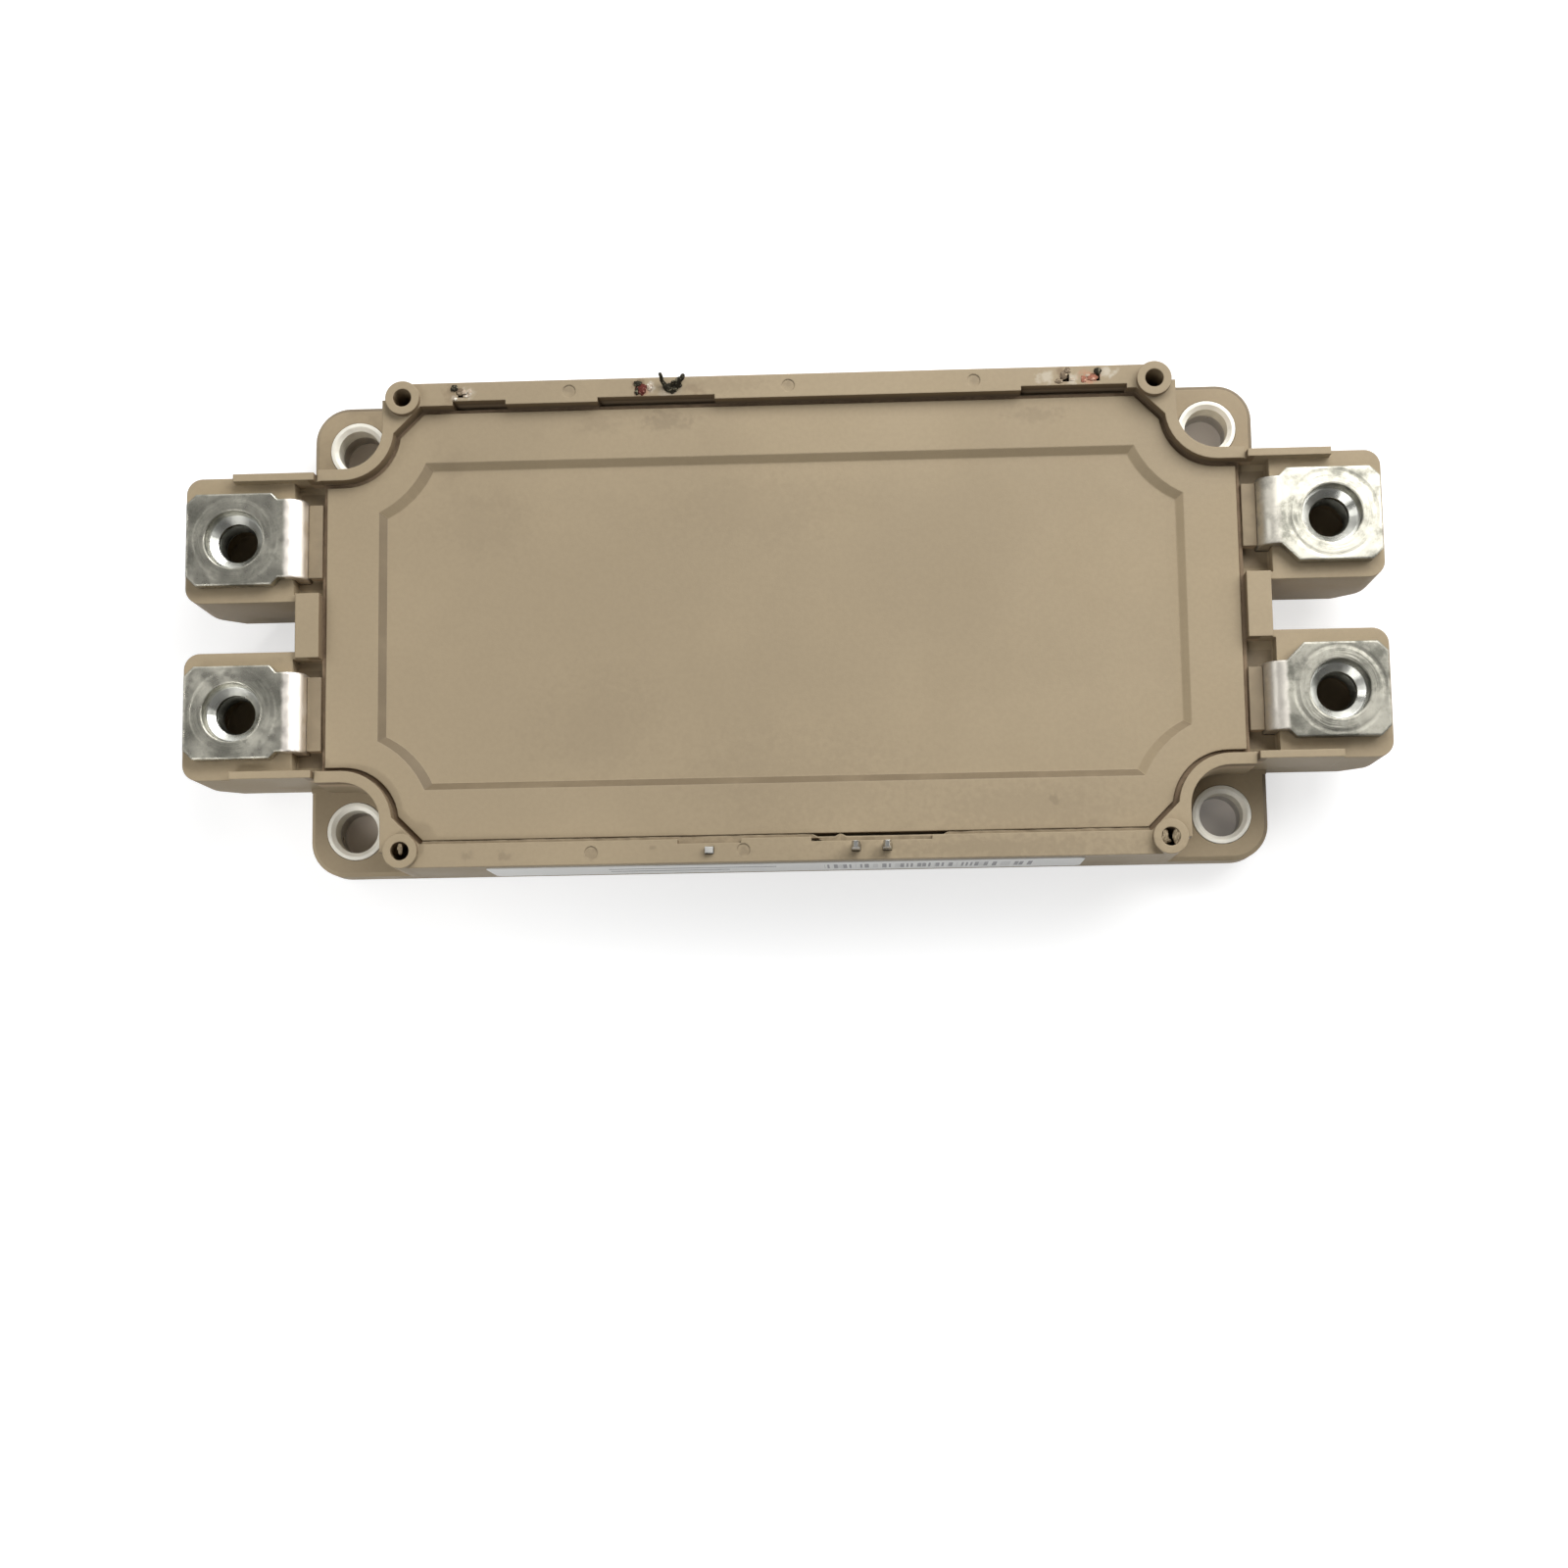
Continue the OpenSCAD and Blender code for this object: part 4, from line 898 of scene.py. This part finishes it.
# torn metal left at each rear pin: kind, place from the pin, half sizes in millimetres
BROKEN = {
    1: (
        ("char", (-0.95, 0.75), (0.48, 0.42, 0.3)), ("pale", (-0.85, -0.65), (0.26, 0.22, 0.25)),
        ("pale", (0.25, 0.25), (0.36, 0.28, 0.12)), ("pale", (0.95, 0.25), (0.28, 0.38, 0.12)),
        ("pale", (0.55, -0.3), (0.40, 0.18, 0.10)), ("smear", (-0.25, 0.3), (0.5, 0.45, 0.10)),
    ),
    2: (
        ("rust", (0.05, 0.05), (0.7, 0.72, 0.3)), ("char", (-0.35, 0.7), (0.5, 0.42, 0.4)),
        ("char", (-0.45, -0.2), (0.28, 0.5, 0.25)), ("pale", (1.15, 0.25), (0.34, 0.52, 0.2)),
    ),
    3: (
        ("char", (0.1, 0.0), (0.85, 0.62, 0.5)), ("char", (0.95, 0.35), (0.45, 0.3, 0.4)),
        ("pale", (0.55, 0.75), (0.22, 0.18, 0.5)),
    ),
    4: (
        ("smear", (0.35, 0.95), (0.4, 0.4, 0.12)), ("smear", (-0.1, 0.35), (0.42, 0.5, 0.10)),
        ("smear", (-0.75, -0.4), (0.5, 0.3, 0.07)), ("pale", (0.9, -0.2), (0.3, 0.2, 0.06)),
    ),
    5: (
        ("red", (-0.4, -0.05), (0.62, 0.42, 0.12)), ("red", (-1.5, -0.2), (0.34, 0.42, 0.08)),
        ("char", (0.3, 0.8), (0.45, 0.4, 0.2)), ("pale", (-0.95, 0.25), (0.3, 0.2, 0.08)),
    ),
}
# the pin that ends in charred strands, and each strand's points, thickness and seed
PRONGED_PIN = 3
PRONGS = (
    (((-0.5, 0.1, 0), (-0.95, 0.7, 0.9), (-0.95, 1.0, 2.2)), 0.42, 3),
    (((0.4, 0.2, 0), (1.1, 0.7, 0.9), (1.7, 1.0, 1.7)), 0.46, 5),
    (((0.1, 0.1, 0), (0.2, 0.5, 0.9), (0.5, 0.6, 1.4)), 0.34, 8),
)


class MODULE_OT_broken_pins(bpy.types.Operator):
    """Break off the five rear pins, each in its own way"""

    bl_idname = "module.broken_pins"
    bl_label = "Broken rear pins"

    def execute(self, context):
        metals = {kind: scorched_material(*looks) for kind, looks in KINDS.items()}
        for index, lumps in BROKEN.items():
            centre = pin_centre(index)
            for kind, metal in metals.items():
                chosen = [item for item in lumps if item[0] == kind]
                if not chosen:
                    continue
                mesh = bmesh.new()
                for order, (_, spot, size) in enumerate(chosen):
                    lump(mesh, centre, spot, size, index + order * 0.37)
                if (index, kind) == (PRONGED_PIN, "char"):
                    for points, thick, seed in PRONGS:
                        prong(mesh, centre, points, thick, seed)
                    close_ends(mesh, 9)
                for face in mesh.faces:
                    face.smooth = True
                bmesh.ops.recalc_face_normals(mesh, faces=mesh.faces)
                # the first kind of metal stands for the pin itself
                node = (f"control_pin_rear_{index}",) if kind == lumps[0][0] else ()
                finished(mesh, f"broken_pin_{index}_{kind}", metal, node)
        return {"FINISHED"}


class MODULE_OT_stage(bpy.types.Operator):
    """Set the floor, backdrop, lights and camera"""

    bl_idname = "module.stage"
    bl_label = "Stage"

    def execute(self, context):
        scene = context.scene
        make_floor(scene.module_stage)
        make_lights()
        make_camera(scene.module_stage)
        scene.view_settings.view_transform = "Standard"
        return {"FINISHED"}


def stage_material(look):
    """Pale and even: it shows its own colour to the camera and still takes shadows."""
    material, tree, shader = new_material("stage_white")
    shader.inputs["Roughness"].default_value = 0.9
    shader.inputs["Specular IOR Level"].default_value = 0.0
    path = add(tree, "ShaderNodeLightPath")
    seen = math_node(tree, "MAXIMUM", path.outputs["Is Camera Ray"], path.outputs["Is Glossy Ray"])
    seen = math_node(tree, "MAXIMUM", seen, path.outputs["Is Transmission Ray"])
    # the spots that show through the mounting holes stay dark, except that the floor under the right-hand
    # holes glows faintly for the camera: painted light
    away = distance_to(tree, (HOLE_X, HOLE_Y), True)[0]
    clear = ranged(tree, away, 3.0 * MM, 3.2 * MM)
    brown = tuple(channel * part for channel, part in zip(look.floor, (0.95, 0.82, 0.70)))
    tree.links.new(mixed(tree, clear, rgba(brown), rgba(look.floor)), shader.inputs["Base Color"])
    # a faint glow for the camera under the right-hand holes: painted light
    pale = math_node(tree, "MAXIMUM", clear, ranged(tree, split(tree)[0], 0.0, 0.05, 0.0, 0.12))
    far = ranged(tree, distance_to(tree, (0, 0))[0], 0.3, 0.9, 0.62, 1.0)
    glow = math_node(tree, "MULTIPLY", math_node(tree, "MULTIPLY", seen, pale), far)
    tree.links.new(glow, shader.inputs["Emission Strength"])
    shader.inputs["Emission Color"].default_value = (1, 1, 1, 1)
    return material


def make_floor(look):
    """One sheet: a floor that curves up into a backdrop behind the module."""
    mesh = bmesh.new()
    near = [mesh.verts.new((x, -1.2, -0.0001)) for x in (-1.6, 1.6)]
    edge = mesh.edges.new(near)
    profile = [(0.9, -0.0001)]
    bend = 0.5
    for step in range(1, 13):
        turn = math.pi / 2 * step / 12
        profile.append((0.9 + bend * math.sin(turn), bend * (1 - math.cos(turn))))
    profile.append((0.9 + bend, 1.6))
    for y, z in profile:
        grown = bmesh.ops.extrude_edge_only(mesh, edges=[edge])["geom"]
        edge = next(item for item in grown if isinstance(item, bmesh.types.BMEdge))
        for vert in edge.verts:
            vert.co.y = y
            vert.co.z = z
    for face in mesh.faces:
        face.smooth = True
    data = bpy.data.meshes.new("floor_and_backdrop")
    bmesh.ops.recalc_face_normals(mesh, faces=mesh.faces)
    mesh.to_mesh(data)
    mesh.free()
    data.materials.append(stage_material(look))
    floor = bpy.data.objects.new("floor_and_backdrop", data)
    bpy.context.scene.collection.objects.link(floor)


def hang(light, spot, target):
    """Hangs a light at a spot, looking at a target."""
    lamp = bpy.data.objects.new(light.name, light)
    lamp.location = spot
    lamp.rotation_euler = (Vector(target) - Vector(spot)).to_track_quat("-Z", "Y").to_euler()
    bpy.context.scene.collection.objects.link(lamp)


# soft lamps: place, target, size and power
LAMPS = {
    "key_lamp": ((0.18, 0.26, 0.335), (0.02, 0.0, 0.0), (0.50, 0.30), 2.75),
    "low_lamp": ((0.52, 0.14, 0.13), (0.0, 0.0, 0.0), (0.30, 0.24), 0.75),
    "left_lamp": ((-0.40, 0.10, 0.34), (0.0, 0.0, 0.0), (0.22, 0.2), 0.4),
    "fill_lamp": ((-0.3, -0.42, 0.68), (0.0, 0.0, 0.0), (0.4, 0.4), 1.4),
}


def make_lights():
    """Soft lamps, the broadest over the rear right, a lamp for the front left corner, and a dim world."""
    for name, (spot, target, size, power) in LAMPS.items():
        light = bpy.data.lights.new(name, "AREA")
        light.shape = "RECTANGLE"
        light.size, light.size_y = size
        light.energy = power
        hang(light, spot, target)
    corner = bpy.data.lights.new("corner_lamp", "SPOT")
    corner.energy = 3.5
    corner.spot_size = math.radians(9)
    corner.spot_blend = 1.0
    corner.shadow_soft_size = 0.03
    hang(corner, (-0.27, -0.22, 0.3), (-0.058, -0.029, 0.0))
    world = bpy.data.worlds.new("studio")
    world.use_nodes = True
    tree = world.node_tree
    background = tree.nodes["Background"]
    background.inputs["Color"].default_value = (1, 1, 1, 1)
    camera_ray = add(tree, "ShaderNodeLightPath").outputs["Is Camera Ray"]
    tree.links.new(ranged(tree, camera_ray, 0.0, 1.0, 0.15, 1.0), background.inputs["Strength"])
    bpy.context.scene.world = world


def make_camera(look):
    """The camera that looks down on the module from above its front."""
    data = bpy.data.cameras.new("camera")
    data.lens = look.lens_mm
    data.sensor_width = 36
    data.clip_start = 0.01
    camera = bpy.data.objects.new("camera", data)
    camera.location = look.camera_place
    camera.rotation_euler = look.camera_turn
    bpy.context.scene.collection.objects.link(camera)
    bpy.context.scene.camera = camera


# ---- panel ----


class MODULE_PT_sidebar(bpy.types.Panel):
    """Lists the steps that dress the module"""

    bl_idname = "MODULE_PT_sidebar"
    bl_label = "Power module"
    bl_space_type = "VIEW_3D"
    bl_region_type = "UI"
    bl_category = "Module"

    def draw(self, context):
        for step in STEPS:
            self.layout.operator(step.bl_idname)
        for name in SETTINGS:
            group = getattr(context.scene, name)
            box = self.layout.box()
            for prop in group.bl_rna.properties:
                if prop.identifier not in {"rna_type", "name"}:
                    box.prop(group, prop.identifier)


STEPS = (
    MODULE_OT_case, MODULE_OT_packed_dust, MODULE_OT_metal, MODULE_OT_inside, MODULE_OT_label,
    MODULE_OT_threads, MODULE_OT_broken_pins, MODULE_OT_post_chips, MODULE_OT_stage,
)
SETTINGS = {
    "module_plastic": PlasticSettings,
    "module_metal": MetalSettings,
    "module_dust": DustSettings,
    "module_thread": ThreadSettings,
    "module_label": LabelSettings,
    "module_stage": StageSettings,
}
CLASSES = (*SETTINGS.values(), *STEPS, MODULE_PT_sidebar)


def register():
    """Adds the classes and the settings to Blender."""
    for item in CLASSES:
        bpy.utils.register_class(item)
    for name, group in SETTINGS.items():
        setattr(bpy.types.Scene, name, PointerProperty(type=group))


def unregister():
    """Takes the settings and the classes out again."""
    for name in SETTINGS:
        delattr(bpy.types.Scene, name)
    for item in reversed(CLASSES):
        bpy.utils.unregister_class(item)


def main():
    """Registers the add-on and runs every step."""
    register()
    bpy.ops.module.case()
    bpy.ops.module.packed_dust()
    bpy.ops.module.metal()
    bpy.ops.module.inside()
    bpy.ops.module.label()
    bpy.ops.module.threads()
    bpy.ops.module.broken_pins()
    bpy.ops.module.post_chips()
    bpy.ops.module.stage()
    bpy.context.view_layer.update()


if __name__ == "__main__":
    main()
